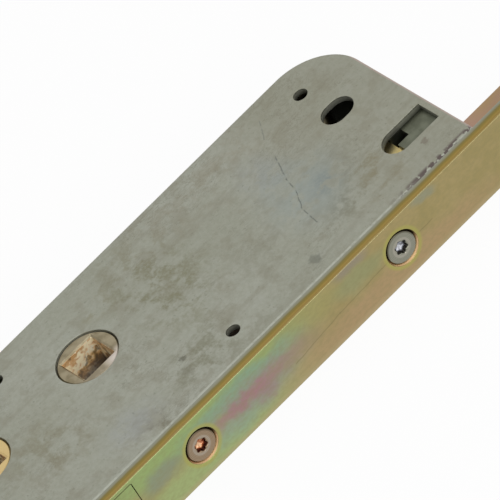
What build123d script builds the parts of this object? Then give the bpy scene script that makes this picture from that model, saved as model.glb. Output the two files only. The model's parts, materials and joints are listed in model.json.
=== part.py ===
from build123d import *
from math import acos, asin, cos, degrees, pi, radians, sin, tan
import os

# Multipoint door lock with two handle followers, one deadbolt and two hooks.
# X points out of the door edge, Z up, and the near side of the case faces -Y.
# The origin is the upper follower's axis, halfway through the lock's thickness.

# Driving sizes of the whole lock
backset = 35.0
faceplate_width = 13.6
faceplate_thickness = 3.0
faceplate_top = 370.0
faceplate_bottom = -420.0
faceplate_edge_round = 0.8
faceplate_corner = 3.0
rail_travel = 16.0

# Case of the middle lock
case_back = -19.2
case_top = 81.0
case_bottom = -130.0
case_thickness = 13.4
case_wall = 1.5
case_corner = 12.5
case_hole_radius = 1.55

# Spindle followers
follower_spacing = 30.0
hub_radius = 6.8
hub_bearing_gap = 0.06
hub_recess = 0.3
hub_edge_chamfer = 0.35
hub_shoulder_radius = 7.6
spindle_square = 8.1
spindle_lead_in = 0.4

# Layers across the case, from the far wall: the drive slide, then everything else
layer_gap = 0.2
slide_thickness = 2.0
arm_thickness = 2.4
tail_gap = 0.2

# Key cylinder opening
cylinder_distance = 92.0
cylinder_head_radius = 8.7
cylinder_stem_width = 10.6
cylinder_drop = 24.8
cylinder_screw_drop = 20.0
cylinder_screw_radius = 2.75
cylinder_screw_sink_radius = 4.4

# Rails behind the faceplate
rail_width = 10.0
rail_thickness = 5.0
rail_gap = 0.1
rail_slot_gap = 0.25
rail_end_gap = 0.6
rivet_radius = 1.5

# Gear teeth
pressure_angle = radians(20)
addendum_share = 0.9
dedendum_share = 1.15
backlash = 0.16
follower_pitch_radius = 20.0
follower_teeth = 20
follower_first_tooth = -4
follower_last_tooth = 1
rack_last_tooth = 2
rack_root_depth = 2.5
hook_teeth = 16
hook_swing = 90.0
rack_first_step = -6
rack_last_step = 2
hook_first_tooth = -5
hook_last_tooth = 1

# Latch
latch_nose_top = -21.5
latch_nose_height = 21.0
latch_throw = 12.0
latch_side_gap = 0.3
latch_flange_rise = 4.0
latch_flange_drop = 2.0
latch_flange_depth = 9.0
latch_bevel_land = 1.6
latch_tail_back = -5.0
latch_upper_arm = 4.6
latch_lower_arm = 9.6
latch_lug_length = 7.6
latch_tail_seat = 2.0
latch_tail_bar = 1.4
latch_lug_height = 4.8
lower_arm_radius = 16.0
lower_arm_tip_radius = 2.5
lower_arm_half_width = 1.5
push_gap = 0.3
spring_lug_front = 15.5
spring_lug_thickness = 2.5
spring_lug_height = 6.2
spring_coil_radius = 2.0
spring_wire_radius = 0.35
spring_wire_sides = 6
spring_turns = 7
spring_end_gap = 0.3

# Flush insert round the latch
insert_top = -17.1
insert_bottom = -47.4
insert_width = 11.6
insert_gap = 0.06
insert_ear_height = 1.4
insert_ear_thickness = 1.0

# Deadbolt
deadbolt_top = -53.0
deadbolt_bottom = -76.5
deadbolt_back = -14.0
deadbolt_throw = 20.0
deadbolt_front_recess = 0.3
deadbolt_head_back = 12.0
deadbolt_tail_thickness = 4.0
deadbolt_edge_round = 1.0
drive_pin_radius = 1.75
drive_pin_start_x = 8.5
drive_pin_start_z = -72.7
drive_pin_slot_gap = 0.25
guide_pin_radius = 1.5
guide_pin_x = -2.0
guide_pin_gap = 0.1

# Locking catch beside the key cylinder
catch_pivot_x = 18.0
catch_pivot_z = -105.0
catch_hub_radius = 3.9
catch_pin_radius = 2.0
catch_pin_gap = 0.05
catch_stud_radius = 1.8
catch_stud_x = 19.5
catch_stud_z = -85.5
catch_swing = 12.0
catch_half_width = 2.0
catch_thickness = 4.4
catch_pad_reach = 13.0
catch_pad_top = -89.0
catch_pad_bottom = -97.0
catch_notch_depth = 3.3
catch_notch_half_height = 2.8

# Screws that hold the case and the hook housings to the faceplate
case_screw_heights = (54.7, -0.9, -98.0)
screw_head_radius = 3.45
screw_head_thickness = 2.2
screw_head_recess = 0.2
screw_seat_radius = 3.85
screw_shank_radius = 1.95
screw_thread_gap = 0.05
screw_length = 9.5
block_height = 9.2
block_back = 24.0

# Screws that fix the lock to the door pass the faceplate and the guide bushes
door_screw_radius = 2.25
door_screw_sink_radius = 4.3
end_screw_heights = (352.0, -410.0)
guide_heights = (120.0, 208.0, -165.0, -258.0)
guide_radius = 3.1
guide_head_radius = 4.8
guide_head_thickness = 1.5

# Rollers
roller_heights = (165.0, -212.0)
roller_pin_radius = 2.5
roller_pin_head_radius = 3.6
roller_pin_head = 1.0
roller_radius = 4.6
roller_flange_radius = 6.0
roller_length = 8.0
roller_flange = 2.2
roller_gap = 0.4
roller_bore_gap = 0.08
roller_chamfer = 0.5

# Hooks and their housings
hook_heights = (280.0, -330.0)
hook_pivot_x = 14.0
hook_pin_radius = 3.0
hook_pin_gap = 0.05
hook_thickness = 5.4
hook_hub_radius = 9.0
hook_reach = 38.0
hook_claw_height = 20.0
hook_claw_width = 10.0
hook_arm_top = 5.0
hook_arm_bottom = -6.0
hook_claw_round = 4.0
hook_inner_round = 3.0
hook_tip_round = 1.5
pinion_thickness = 2.2
housing_back = 0.8
housing_top_rise = 34.0
housing_corner = 5.0
housing_screw_rise = 21.0
hook_end_gap = 1.6
housing_boss_half_height = 3.4
housing_boss_back = 17.5
housing_boss_gap = 0.25
rack_tip_gap = 0.4
hook_slot_width = 6.2
hook_slot_end_gap = 2.0
hook_slot_rise = 7.5
rail_end_bridge = 4.0
rail_end_rise = 14.0

# Joints between the drive slide and the rails
slide_bottom = -112.0
lower_rail_top = -119.5
rail_to_block_gap = 0.7
rail_to_slide_gap = 2.0
upper_rivet_inset = 7.0
lower_rivet_inset = 18.0
tongue_past_rivet = 4.5
tongue_width = 4.5
slide_setback = 0.4

# Pillars between the case plates, and the short bush behind one small hole
pillar_places = ((-11.1, 68.7), (-14.0, -14.0), (-12.5, -121.5), (16.0, -121.5))
pillar_radius = 3.0
bush_place = (24.9, 20.1)

# Openings near the top of the case
oblong_x = 0.0
oblong_z = 69.8
oblong_width = 6.1
oblong_height = 7.4
slot_left = 15.5
slot_right = 22.5
slot_bottom = 67.4
slot_top = 79.4
top_block_margin = 1.6
top_block_bottom = 70.6
top_block_thickness = 6.0
peg_hole_left = 15.6
peg_hole_right = 18.4
peg_hole_rise = 3.0
stop_plate_thickness = 1.2
stop_plate_bottom = 63.0
stop_plate_recess = 1.3

# Detent spring that clicks into the drive slide at both ends of its travel
detent_post_x = 14.5
detent_post_z = 53.0
detent_post_radius = 2.0
detent_height = 40.0
detent_depth = 0.9
detent_leaf = 0.5
detent_rise = 2.4
detent_gap = 0.1

# Places worked out from the driving sizes
plate_front = backset
plate_rear = backset - faceplate_thickness
faceplate_mid = (faceplate_top + faceplate_bottom) / 2
faceplate_length = faceplate_top - faceplate_bottom
case_half = case_thickness / 2
inner_half = case_half - case_wall
inner_depth = 2 * inner_half
slide_far = inner_half - layer_gap
slide_near = slide_far - slide_thickness
bolt_far = slide_near - layer_gap
bolt_near = -inner_half + layer_gap
bolt_thickness = bolt_far - bolt_near
arm_far = bolt_far
arm_near = arm_far - arm_thickness
tail_far = arm_near - tail_gap
rail_front = plate_rear - rail_gap
rail_back = rail_front - rail_thickness
rail_half = rail_width / 2
slide_front = rail_front - slide_setback
slide_back = follower_pitch_radius + rack_root_depth
tongue_back = slide_front - tongue_width
follower_pitch = 2 * pi * follower_pitch_radius / follower_teeth
hook_pitch = rail_travel / (hook_teeth * hook_swing / 360)
hook_pitch_radius = hook_pitch * hook_teeth / (2 * pi)
hook_addendum = addendum_share * hook_pitch / pi
hook_dedendum = dedendum_share * hook_pitch / pi
lower_follower_z = -follower_spacing
housing_screw_drop = hook_reach + hook_end_gap + housing_boss_half_height
housing_bottom_drop = housing_screw_drop + housing_boss_half_height + case_wall
hook_slot_drop = hook_reach + hook_slot_end_gap
rail_slot_drop = housing_bottom_drop + rail_travel
rail_end_drop = rail_slot_drop + rail_end_bridge
upper_rail_bottom = case_screw_heights[0] + block_height / 2 + rail_to_block_gap
slide_top = upper_rail_bottom - rail_to_slide_gap
upper_rivet_height = upper_rail_bottom + upper_rivet_inset
upper_tongue_top = upper_rivet_height + tongue_past_rivet
lower_rivet_height = lower_rail_top - lower_rivet_inset
lower_tongue_bottom = lower_rivet_height - tongue_past_rivet
cylinder_z = -cylinder_distance
lower_arm_angle = degrees(asin(latch_throw / 2 / lower_arm_radius))
slot_half = hook_slot_width / 2

os.makedirs("parts", exist_ok=True)


def side_plane(y):
    """The plane across the lock at y, seen from the near side, with X to the right and Z up."""
    return Plane.XZ.offset(-y)


def front_plane(x):
    """The plane parallel to the faceplate at x, with Y across and Z up."""
    return Plane.YZ.offset(x)


def front_places(x, heights):
    """Places on the faceplate's middle line at x, facing out of the door edge."""
    return [front_plane(x).location * Location((0, height, 0)) for height in heights]


def side_places(y, places):
    """Places on the plane across the lock at y, facing the near side."""
    return [side_plane(y).location * Location((x, z, 0)) for x, z in places]


def panel(left, right, bottom, top):
    """A rectangle in the current sketch, given by its four sides."""
    with Locations(((left + right) / 2, (bottom + top) / 2)):
        Rectangle(right - left, top - bottom)


def panel_cut(left, right, bottom, top):
    """A rectangular hole in the current sketch, given by its four sides."""
    with Locations(((left + right) / 2, (bottom + top) / 2)):
        Rectangle(right - left, top - bottom, mode=Mode.SUBTRACT)


def upright_slot(middle_x, bottom, top, radius):
    """A slot with round ends in the current sketch, standing along Z."""
    with Locations(Location((middle_x, (bottom + top) / 2, 0), (0, 0, 90))):
        SlotOverall(top - bottom, 2 * radius)


def involute(angle):
    return tan(angle) - angle


def half_tooth_angle(radius, pitch_radius, pitch):
    """Half the angle that a gear tooth covers at a radius."""
    base_radius = pitch_radius * cos(pressure_angle)
    at_pitch = (pitch - backlash) / 4 / pitch_radius
    return at_pitch + involute(pressure_angle) - involute(acos(min(1, base_radius / radius)))


def gear_tooth(pitch_radius, pitch):
    """One tooth along local X: straight up to the base circle, then an involute drawn as an arc."""
    base = pitch_radius * cos(pressure_angle)
    root = pitch_radius - dedendum_share * pitch / pi
    tip = pitch_radius + addendum_share * pitch / pi
    seat = root - backlash
    radii = (seat, base, (base + tip) / 2, tip)
    angles = (half_tooth_angle(base, pitch_radius, pitch),) + tuple(
        half_tooth_angle(radius, pitch_radius, pitch) for radius in radii[1:]
    )
    low = [(r * cos(a), -r * sin(a)) for r, a in zip(radii, angles)]
    high = [(x, -y) for x, y in low]
    with BuildSketch(mode=Mode.PRIVATE) as tooth:
        with BuildLine():
            Line(high[0], low[0])
            Line(low[0], low[1])
            ThreePointArc(low[1], low[2], low[3])
            Line(low[3], high[3])
            ThreePointArc(high[3], high[2], high[1])
            Line(high[1], high[0])
        make_face()
    return tooth.sketch


def rack_tooth(pitch_line, seat, pitch):
    """One straight-sided rack tooth that points towards -X from its seat."""
    tip = pitch_line - addendum_share * pitch / pi
    half_pitch_line = (pitch - backlash) / 4
    half_tip = half_pitch_line - (pitch_line - tip) * tan(pressure_angle)
    half_seat = half_pitch_line + (seat - pitch_line) * tan(pressure_angle)
    with BuildSketch(mode=Mode.PRIVATE) as tooth:
        with BuildLine():
            Polyline((seat, -half_seat), (tip, -half_tip), (tip, half_tip), (seat, half_seat), close=True)
        make_face()
    return tooth.sketch


def case_outline(inset):
    """Side outline of the case, square where it meets the faceplate and round at the back."""
    panel(case_back + inset, plate_rear, case_bottom + inset, case_top - inset)
    fillet(vertices().group_by(Axis.X)[0], case_corner - inset)


def cylinder_outline(mode):
    """Profile of the key cylinder: a round head over a stem with a round foot."""
    with Locations((0, cylinder_z)):
        Circle(cylinder_head_radius, mode=mode)
    foot = cylinder_z - cylinder_drop + cylinder_stem_width / 2
    with Locations((0, (cylinder_z + foot) / 2)):
        Rectangle(cylinder_stem_width, cylinder_z - foot, mode=mode)
    with Locations((0, foot)):
        Circle(cylinder_stem_width / 2, mode=mode)


def finish(part, name):
    """Label a finished piece and write it under its name."""
    part.label = name
    export_step(part, f"parts/{name}.step")


# Faceplate: one rolled strip with rounded front edges
with BuildPart() as faceplate:
    with BuildSketch(front_plane(plate_rear)):
        with Locations((0, faceplate_mid)):
            RectangleRounded(faceplate_width, faceplate_length, faceplate_corner)
    extrude(amount=faceplate_thickness)
    fillet(faceplate.faces().sort_by(Axis.X)[-1].edges().filter_by(Axis.Z), faceplate_edge_round)
    with BuildSketch(front_plane(plate_rear)):
        panel(-insert_width / 2 - insert_gap, insert_width / 2 + insert_gap,
              insert_bottom - insert_gap, insert_top + insert_gap)
        panel(bolt_near - layer_gap, bolt_far + layer_gap,
              deadbolt_bottom - layer_gap, deadbolt_top + layer_gap)
        for height in hook_heights:
            upright_slot(0, height - hook_slot_drop, height + hook_slot_rise, hook_slot_width / 2)
        for height in roller_heights:
            reach = roller_pin_radius + rail_slot_gap
            upright_slot(0, height - reach, height + rail_travel + reach, reach)
    extrude(amount=faceplate_thickness, mode=Mode.SUBTRACT)
    with Locations(*front_places(plate_front, end_screw_heights + guide_heights)):
        CounterSinkHole(door_screw_radius, door_screw_sink_radius)
    housing_screw_heights = [h + housing_screw_rise for h in hook_heights]
    housing_screw_heights += [h - housing_screw_drop for h in hook_heights]
    with Locations(*front_places(plate_front, case_screw_heights + tuple(housing_screw_heights))):
        CounterBoreHole(screw_shank_radius + screw_thread_gap, screw_seat_radius,
                        screw_head_thickness + screw_head_recess)
    with Locations(*front_places(plate_front, (cylinder_z - cylinder_screw_drop,))):
        CounterSinkHole(cylinder_screw_radius, cylinder_screw_sink_radius)
finish(faceplate.part, "faceplate")

# Case body: the far plate with the walls round it, open at the front and where the rails pass
with BuildPart() as case_body:
    with BuildSketch(side_plane(case_half)):
        case_outline(0)
    extrude(amount=case_half + inner_half)
    with BuildSketch(side_plane(inner_half)):
        case_outline(case_wall)
    extrude(amount=inner_depth, mode=Mode.SUBTRACT)
    with BuildSketch(side_plane(inner_half)):
        panel(rail_back - rail_end_gap, plate_rear, case_bottom, case_top)
    extrude(amount=inner_depth, mode=Mode.SUBTRACT)
    with BuildSketch(side_plane(case_half)):
        with Locations((0, 0), (0, lower_follower_z)):
            Circle(hub_radius + hub_bearing_gap)
        cylinder_outline(Mode.ADD)
        upright_slot(oblong_x, oblong_z - oblong_height / 2, oblong_z + oblong_height / 2, oblong_width / 2)
    extrude(amount=case_wall, mode=Mode.SUBTRACT)
finish(case_body.part, "case_body")

# Case cover: the near plate, with the small holes and the square-topped slot
with BuildPart() as case_cover:
    with BuildSketch(side_plane(-inner_half)):
        case_outline(0)
        with Locations((0, 0), (0, lower_follower_z)):
            Circle(hub_radius + hub_bearing_gap, mode=Mode.SUBTRACT)
        cylinder_outline(Mode.SUBTRACT)
        with Locations(*pillar_places, bush_place):
            Circle(case_hole_radius, mode=Mode.SUBTRACT)
        with Locations(Location((oblong_x, oblong_z, 0), (0, 0, 90))):
            SlotOverall(oblong_height, oblong_width, mode=Mode.SUBTRACT)
        slot_radius = (slot_right - slot_left) / 2
        panel_cut(slot_left, slot_right, slot_bottom + slot_radius, slot_top)
        with Locations((slot_left + slot_radius, slot_bottom + slot_radius)):
            Circle(slot_radius, mode=Mode.SUBTRACT)
    extrude(amount=case_wall)
finish(case_cover.part, "case_cover")

# Hollow pillars between the two plates, and the short bush beside the drive slide
with BuildPart() as case_pillars:
    with BuildSketch(side_plane(inner_half)):
        with Locations(*pillar_places):
            Circle(pillar_radius)
            Circle(case_hole_radius, mode=Mode.SUBTRACT)
    extrude(amount=inner_depth)
    with BuildSketch(side_plane(bolt_far)):
        with Locations(bush_place):
            Circle(pillar_radius)
            Circle(case_hole_radius, mode=Mode.SUBTRACT)
    extrude(amount=bolt_far + inner_half)
finish(case_pillars.part, "case_pillars")

# Threaded blocks behind the faceplate, one for each case screw
with BuildPart() as screw_blocks:
    with BuildSketch(side_plane(bolt_far)):
        for height in case_screw_heights:
            panel(block_back, plate_rear, height - block_height / 2, height + block_height / 2)
    extrude(amount=bolt_far + inner_half)
    with Locations(*front_places(plate_rear, case_screw_heights)):
        Hole(screw_shank_radius + screw_thread_gap)
finish(screw_blocks.part, "screw_blocks")


def build_screws(heights):
    """Screws with a flat head, seated in the faceplate's counterbores."""
    seat = plate_front - screw_head_recess - screw_head_thickness
    with BuildPart(mode=Mode.PRIVATE) as screws:
        with BuildSketch(front_plane(seat)):
            with Locations(*[(0, height) for height in heights]):
                Circle(screw_head_radius)
        extrude(amount=screw_head_thickness)
        chamfer(screws.faces().group_by(Axis.X)[-1].edges(), screw_head_recess)
        with BuildSketch(front_plane(seat - screw_length)):
            with Locations(*[(0, height) for height in heights]):
                Circle(screw_shank_radius)
        extrude(amount=screw_length)
    return screws.part


finish(build_screws(case_screw_heights), "case_screws")
finish(build_screws(housing_screw_heights), "housing_screws")

# Block and strip that show through the slot near the top of the case
block_near = -inner_half
with BuildPart() as top_block:
    with BuildSketch(side_plane(block_near + top_block_thickness)):
        panel(slot_left - top_block_margin, slot_right + top_block_margin,
              top_block_bottom, case_top - case_wall)
        panel_cut(peg_hole_left, peg_hole_right, top_block_bottom, top_block_bottom + peg_hole_rise)
    extrude(amount=top_block_thickness)
finish(top_block.part, "top_block")

stop_near = -inner_half + stop_plate_recess
with BuildPart() as stop_plate:
    with BuildSketch(side_plane(stop_near + stop_plate_thickness)):
        panel(slot_left - top_block_margin, slot_right + top_block_margin,
              stop_plate_bottom, top_block_bottom)
    extrude(amount=stop_plate_thickness)
finish(stop_plate.part, "stop_plate")

# Flush insert round the latch, with ears that seat behind the faceplate
with BuildPart() as latch_insert:
    with BuildSketch(front_plane(plate_rear)):
        panel(-insert_width / 2, insert_width / 2, insert_bottom, insert_top)
    extrude(amount=faceplate_thickness)
    with BuildSketch(front_plane(plate_rear - insert_ear_thickness)):
        panel(-inner_half + layer_gap, bolt_far,
              insert_bottom - insert_ear_height, insert_top + insert_ear_height)
    extrude(amount=insert_ear_thickness)
    with BuildSketch(front_plane(plate_rear - insert_ear_thickness)):
        panel(bolt_near - latch_side_gap / 2, bolt_far + layer_gap,
              latch_nose_top - latch_nose_height - latch_side_gap, latch_nose_top + latch_side_gap)
    extrude(amount=faceplate_thickness + insert_ear_thickness, mode=Mode.SUBTRACT)
finish(latch_insert.part, "latch_insert")


def build_hub(height):
    """Follower hub: a bearing at each end, a wider shoulder between, and the spindle's square."""
    hub_half = case_half - hub_recess
    shoulder_half = inner_half - layer_gap
    with BuildPart(mode=Mode.PRIVATE) as hub:
        with BuildSketch(side_plane(hub_half)):
            with Locations((0, height)):
                Circle(hub_radius)
        extrude(amount=2 * hub_half)
        chamfer(hub.edges().filter_by(GeomType.CIRCLE), hub_edge_chamfer)
        with BuildSketch(side_plane(shoulder_half)):
            with Locations((0, height)):
                Circle(hub_shoulder_radius)
        extrude(amount=2 * shoulder_half)
        with BuildSketch(side_plane(hub_half)):
            with Locations((0, height)):
                Rectangle(spindle_square, spindle_square)
        extrude(amount=2 * hub_half, mode=Mode.SUBTRACT)
        ends = hub.faces().sort_by(Axis.Y)
        chamfer(ends[0].inner_wires().edges() + ends[-1].inner_wires().edges(), spindle_lead_in)
    return hub.part


finish(build_hub(0), "upper_follower")
finish(build_hub(lower_follower_z), "lower_follower")

# Toothed segment of the upper follower, in the drive slide's layer
tooth_angle = 360 / follower_teeth
segment_start = (follower_first_tooth - 1 / 2) * tooth_angle
segment_end = (follower_last_tooth + 1 / 2) * tooth_angle
segment_root = follower_pitch_radius - dedendum_share * follower_pitch / pi
with BuildPart() as follower_segment:
    with BuildSketch(side_plane(slide_far)):
        Circle(hub_shoulder_radius + case_wall)
        with BuildLine():
            start = PolarLine((0, 0), segment_root, segment_start)
            sweep_arc = CenterArc((0, 0), segment_root, segment_start, segment_end - segment_start)
            Line(sweep_arc @ 1, (0, 0))
        make_face()
        teeth = range(follower_first_tooth, follower_last_tooth + 1)
        with Locations(*[Location((0, 0, 0), (0, 0, count * tooth_angle)) for count in teeth]):
            add(gear_tooth(follower_pitch_radius, follower_pitch))
        Circle(hub_shoulder_radius, mode=Mode.SUBTRACT)
    extrude(amount=slide_thickness)
finish(follower_segment.part, "follower_segment")

# Arm of the lower follower, which draws the latch back by its lug
arm_tip_x = lower_arm_radius * sin(radians(lower_arm_angle))
arm_tip_z = lower_follower_z - lower_arm_radius * cos(radians(lower_arm_angle))
with BuildPart() as follower_arm:
    with BuildSketch(side_plane(arm_far)):
        with Locations((0, lower_follower_z)):
            Circle(hub_shoulder_radius + case_wall)
        with Locations((arm_tip_x, arm_tip_z)):
            Circle(lower_arm_tip_radius)
        with Locations(Location((arm_tip_x / 2, (arm_tip_z + lower_follower_z) / 2, 0),
                                (0, 0, lower_arm_angle))):
            Rectangle(2 * lower_arm_half_width, lower_arm_radius)
        with Locations((0, lower_follower_z)):
            Circle(hub_shoulder_radius, mode=Mode.SUBTRACT)
    extrude(amount=arm_thickness)
finish(follower_arm.part, "follower_arm")

# Latch bolt: a bevelled nose in front of a taller flange that stops behind the insert
latch_front = plate_front + latch_throw
flange_front = plate_rear - insert_ear_thickness - layer_gap
flange_back = flange_front - latch_flange_depth
flange_top = latch_nose_top + latch_flange_rise
flange_bottom = latch_nose_top - latch_nose_height - latch_flange_drop
with BuildPart() as latch_bolt:
    with BuildSketch(Plane.XY.offset(latch_nose_top)):
        with BuildLine():
            Polyline(
                (flange_back, bolt_near),
                (latch_front, bolt_near),
                (latch_front, bolt_near + latch_bevel_land),
                (plate_front, bolt_far),
                (flange_back, bolt_far),
                close=True,
            )
        make_face()
    extrude(amount=-latch_nose_height)
    fillet(latch_bolt.edges().filter_by(Axis.Z).sort_by(Axis.X)[-2:], latch_bevel_land / 3)
    with BuildSketch(side_plane(bolt_far)):
        panel(flange_back, flange_front, flange_bottom, flange_top)
    extrude(amount=bolt_thickness)
    with BuildSketch(side_plane(tail_far)):
        panel(flange_back, flange_back + latch_tail_seat, flange_bottom, flange_top)
    extrude(amount=tail_far - bolt_near, mode=Mode.SUBTRACT)
finish(latch_bolt.part, "latch_bolt")

# Latch tail: a fork round the lower follower, with the lug below and the spring's lug above
lug_face = arm_tip_x - lower_arm_tip_radius - push_gap
upper_arm_bottom = flange_top - latch_upper_arm
lower_arm_top = lower_follower_z - hub_shoulder_radius - push_gap
lower_arm_bottom = lower_arm_top - latch_lower_arm
with BuildPart() as latch_tail:
    with BuildSketch(side_plane(tail_far)):
        panel(latch_tail_back, flange_back, upper_arm_bottom, flange_top)
        panel(latch_tail_back, flange_back, lower_arm_bottom, lower_arm_top)
        panel(flange_back - latch_tail_bar, flange_back + latch_tail_seat, flange_bottom, flange_top)
        panel(spring_lug_front - spring_lug_thickness, spring_lug_front,
              flange_top, flange_top + spring_lug_height)
    extrude(amount=tail_far - bolt_near)
    with BuildSketch(side_plane(arm_far)):
        panel(lug_face - latch_lug_length, lug_face, lower_arm_bottom, lower_arm_bottom + latch_lug_height)
    extrude(amount=arm_far - tail_far)
finish(latch_tail.part, "latch_tail")

# Latch spring: a coil between a pillar and the latch's spring lug
spring_back = pillar_places[1][0] + pillar_radius + spring_end_gap + spring_wire_radius
spring_front = spring_lug_front - spring_lug_thickness - spring_end_gap - spring_wire_radius
spring_length = spring_front - spring_back
spring_middle_y = (tail_far + bolt_near) / 2
spring_z = flange_top + spring_coil_radius + 2 * spring_wire_radius
spring_start = (spring_back, spring_middle_y, spring_z)
with BuildPart() as latch_spring:
    with BuildLine() as spring_path:
        Helix(pitch=spring_length / spring_turns, height=spring_length, radius=spring_coil_radius,
              center=spring_start, direction=(1, 0, 0))
    with BuildSketch(Plane(origin=spring_path.line @ 0, z_dir=spring_path.line % 0)):
        RegularPolygon(spring_wire_radius, spring_wire_sides)
    sweep(path=spring_path.line, is_frenet=True)
finish(latch_spring.part, "latch_spring")

# Deadbolt: a solid head and a thin tail with the slanted slot that throws it
deadbolt_front = plate_front - deadbolt_front_recess
with BuildPart() as deadbolt:
    with BuildSketch(side_plane(bolt_far)):
        panel(deadbolt_head_back, deadbolt_front, deadbolt_bottom, deadbolt_top)
    extrude(amount=bolt_thickness)
    fillet(deadbolt.faces().sort_by(Axis.X)[-1].edges(), deadbolt_edge_round)
    with BuildSketch(side_plane(bolt_far)):
        panel(deadbolt_back, deadbolt_head_back, deadbolt_bottom, deadbolt_top)
    extrude(amount=deadbolt_tail_thickness)
    slot_slope = degrees(acos(deadbolt_throw / (deadbolt_throw**2 + rail_travel**2) ** 0.5))
    slot_middle = (drive_pin_start_x - deadbolt_throw / 2, drive_pin_start_z + rail_travel / 2)
    with BuildSketch(side_plane(bolt_far)):
        with Locations(Location((slot_middle[0], slot_middle[1], 0), (0, 0, -slot_slope))):
            SlotCenterToCenter((deadbolt_throw**2 + rail_travel**2) ** 0.5,
                               2 * (drive_pin_radius + drive_pin_slot_gap))
    extrude(amount=deadbolt_tail_thickness, mode=Mode.SUBTRACT)
finish(deadbolt.part, "deadbolt")

with BuildPart() as bolt_drive_pin:
    with BuildSketch(side_plane(slide_near)):
        with Locations((drive_pin_start_x, drive_pin_start_z)):
            Circle(drive_pin_radius)
    extrude(amount=slide_near - bolt_far + deadbolt_tail_thickness)
finish(bolt_drive_pin.part, "bolt_drive_pin")

with BuildPart() as bolt_guide_pin:
    with BuildSketch(side_plane(inner_half)):
        with Locations((guide_pin_x, deadbolt_top + guide_pin_gap + guide_pin_radius)):
            Circle(guide_pin_radius)
    extrude(amount=inner_depth)
finish(bolt_guide_pin.part, "bolt_guide_pin")

# Drive slide: the plate beside the bolts, with the rack, the deadbolt tab and the notches
catch_x = catch_stud_x - catch_pivot_x
catch_z = catch_stud_z - catch_pivot_z
catch_end_z = catch_pivot_z + catch_z * cos(radians(catch_swing)) - catch_x * sin(radians(catch_swing))
with BuildPart() as drive_slide:
    with BuildSketch(side_plane(slide_far)):
        panel(slide_back, slide_front, slide_bottom, slide_top)
        panel(tongue_back, slide_front, slide_top, upper_tongue_top)
        panel(tongue_back, slide_front, lower_tongue_bottom, slide_bottom)
        tab_half = drive_pin_radius + case_wall
        panel(drive_pin_start_x, slide_back, drive_pin_start_z - tab_half, drive_pin_start_z + tab_half)
        with Locations((drive_pin_start_x, drive_pin_start_z)):
            Circle(tab_half)
        rack_counts = range(follower_first_tooth + 1, rack_last_tooth + 1)
        rack_heights = [(count - 1 / 2) * follower_pitch for count in rack_counts]
        with Locations(*[(0, height) for height in rack_heights]):
            add(rack_tooth(follower_pitch_radius, slide_back, follower_pitch))
        for height in (catch_end_z, catch_end_z - rail_travel):
            panel_cut(slide_back, slide_back + catch_notch_depth,
                      height - catch_notch_half_height, height + catch_notch_half_height)
        with BuildLine(mode=Mode.PRIVATE) as notch:
            Polyline((0, -detent_rise), (detent_depth, 0), (0, detent_rise), close=True)
        with Locations((slide_back, detent_height), (slide_back, detent_height - rail_travel)):
            add(make_face(notch.line, mode=Mode.PRIVATE), mode=Mode.SUBTRACT)
        with Locations(((tongue_back + slide_front) / 2, upper_rivet_height),
                       ((tongue_back + slide_front) / 2, lower_rivet_height)):
            Circle(rivet_radius, mode=Mode.SUBTRACT)
    extrude(amount=slide_thickness)
finish(drive_slide.part, "drive_slide")


def guide_slot(height):
    """Slot in a rail that slides along a guide bush."""
    reach = guide_radius + rail_slot_gap
    upright_slot(0, height - rail_travel - reach, height + reach, reach)


def build_rack_ears(height):
    """Two toothed ears behind the rail, one on each side of the hook."""
    pitch_line = hook_pivot_x + hook_pitch_radius
    seat = pitch_line + hook_dedendum
    with BuildPart(mode=Mode.PRIVATE) as ears:
        with BuildSketch(side_plane(rail_half), side_plane(-slot_half)):
            panel(seat, rail_front, height - rail_travel - 2 * hook_pitch, height + 2 * hook_pitch)
            rack_steps = range(rack_first_step, rack_last_step)
            with Locations(*[(0, height + (step + 1 / 2) * hook_pitch) for step in rack_steps]):
                add(rack_tooth(pitch_line, seat, hook_pitch))
        extrude(amount=rail_half - slot_half)
    return ears.part


upper_ears = build_rack_ears(hook_heights[0])
lower_ears = build_rack_ears(hook_heights[1])

# Upper rail: a bar with slots for the guide bushes and the hook, and toothed ears
with BuildPart() as upper_rail:
    upper_hook_z = hook_heights[0]
    with BuildSketch(front_plane(rail_back)):
        panel(-rail_half, rail_half, upper_rail_bottom, upper_hook_z + rail_end_rise)
        panel_cut(slide_near, rail_half, upper_rail_bottom, upper_tongue_top)
    extrude(amount=rail_thickness)
    with BuildSketch(front_plane(rail_back)):
        for height in guide_heights[:2]:
            guide_slot(height)
        panel(-hook_slot_width / 2, hook_slot_width / 2,
              upper_hook_z - rail_slot_drop, upper_hook_z + rail_end_rise)
        with Locations((0, roller_heights[0])):
            Circle(roller_pin_radius)
    extrude(amount=rail_thickness, mode=Mode.SUBTRACT)
    add(upper_ears)
    with Locations(*side_places(slide_near, [((tongue_back + slide_front) / 2, upper_rivet_height)])):
        Hole(rivet_radius)
finish(upper_rail.part, "upper_rail")

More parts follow.
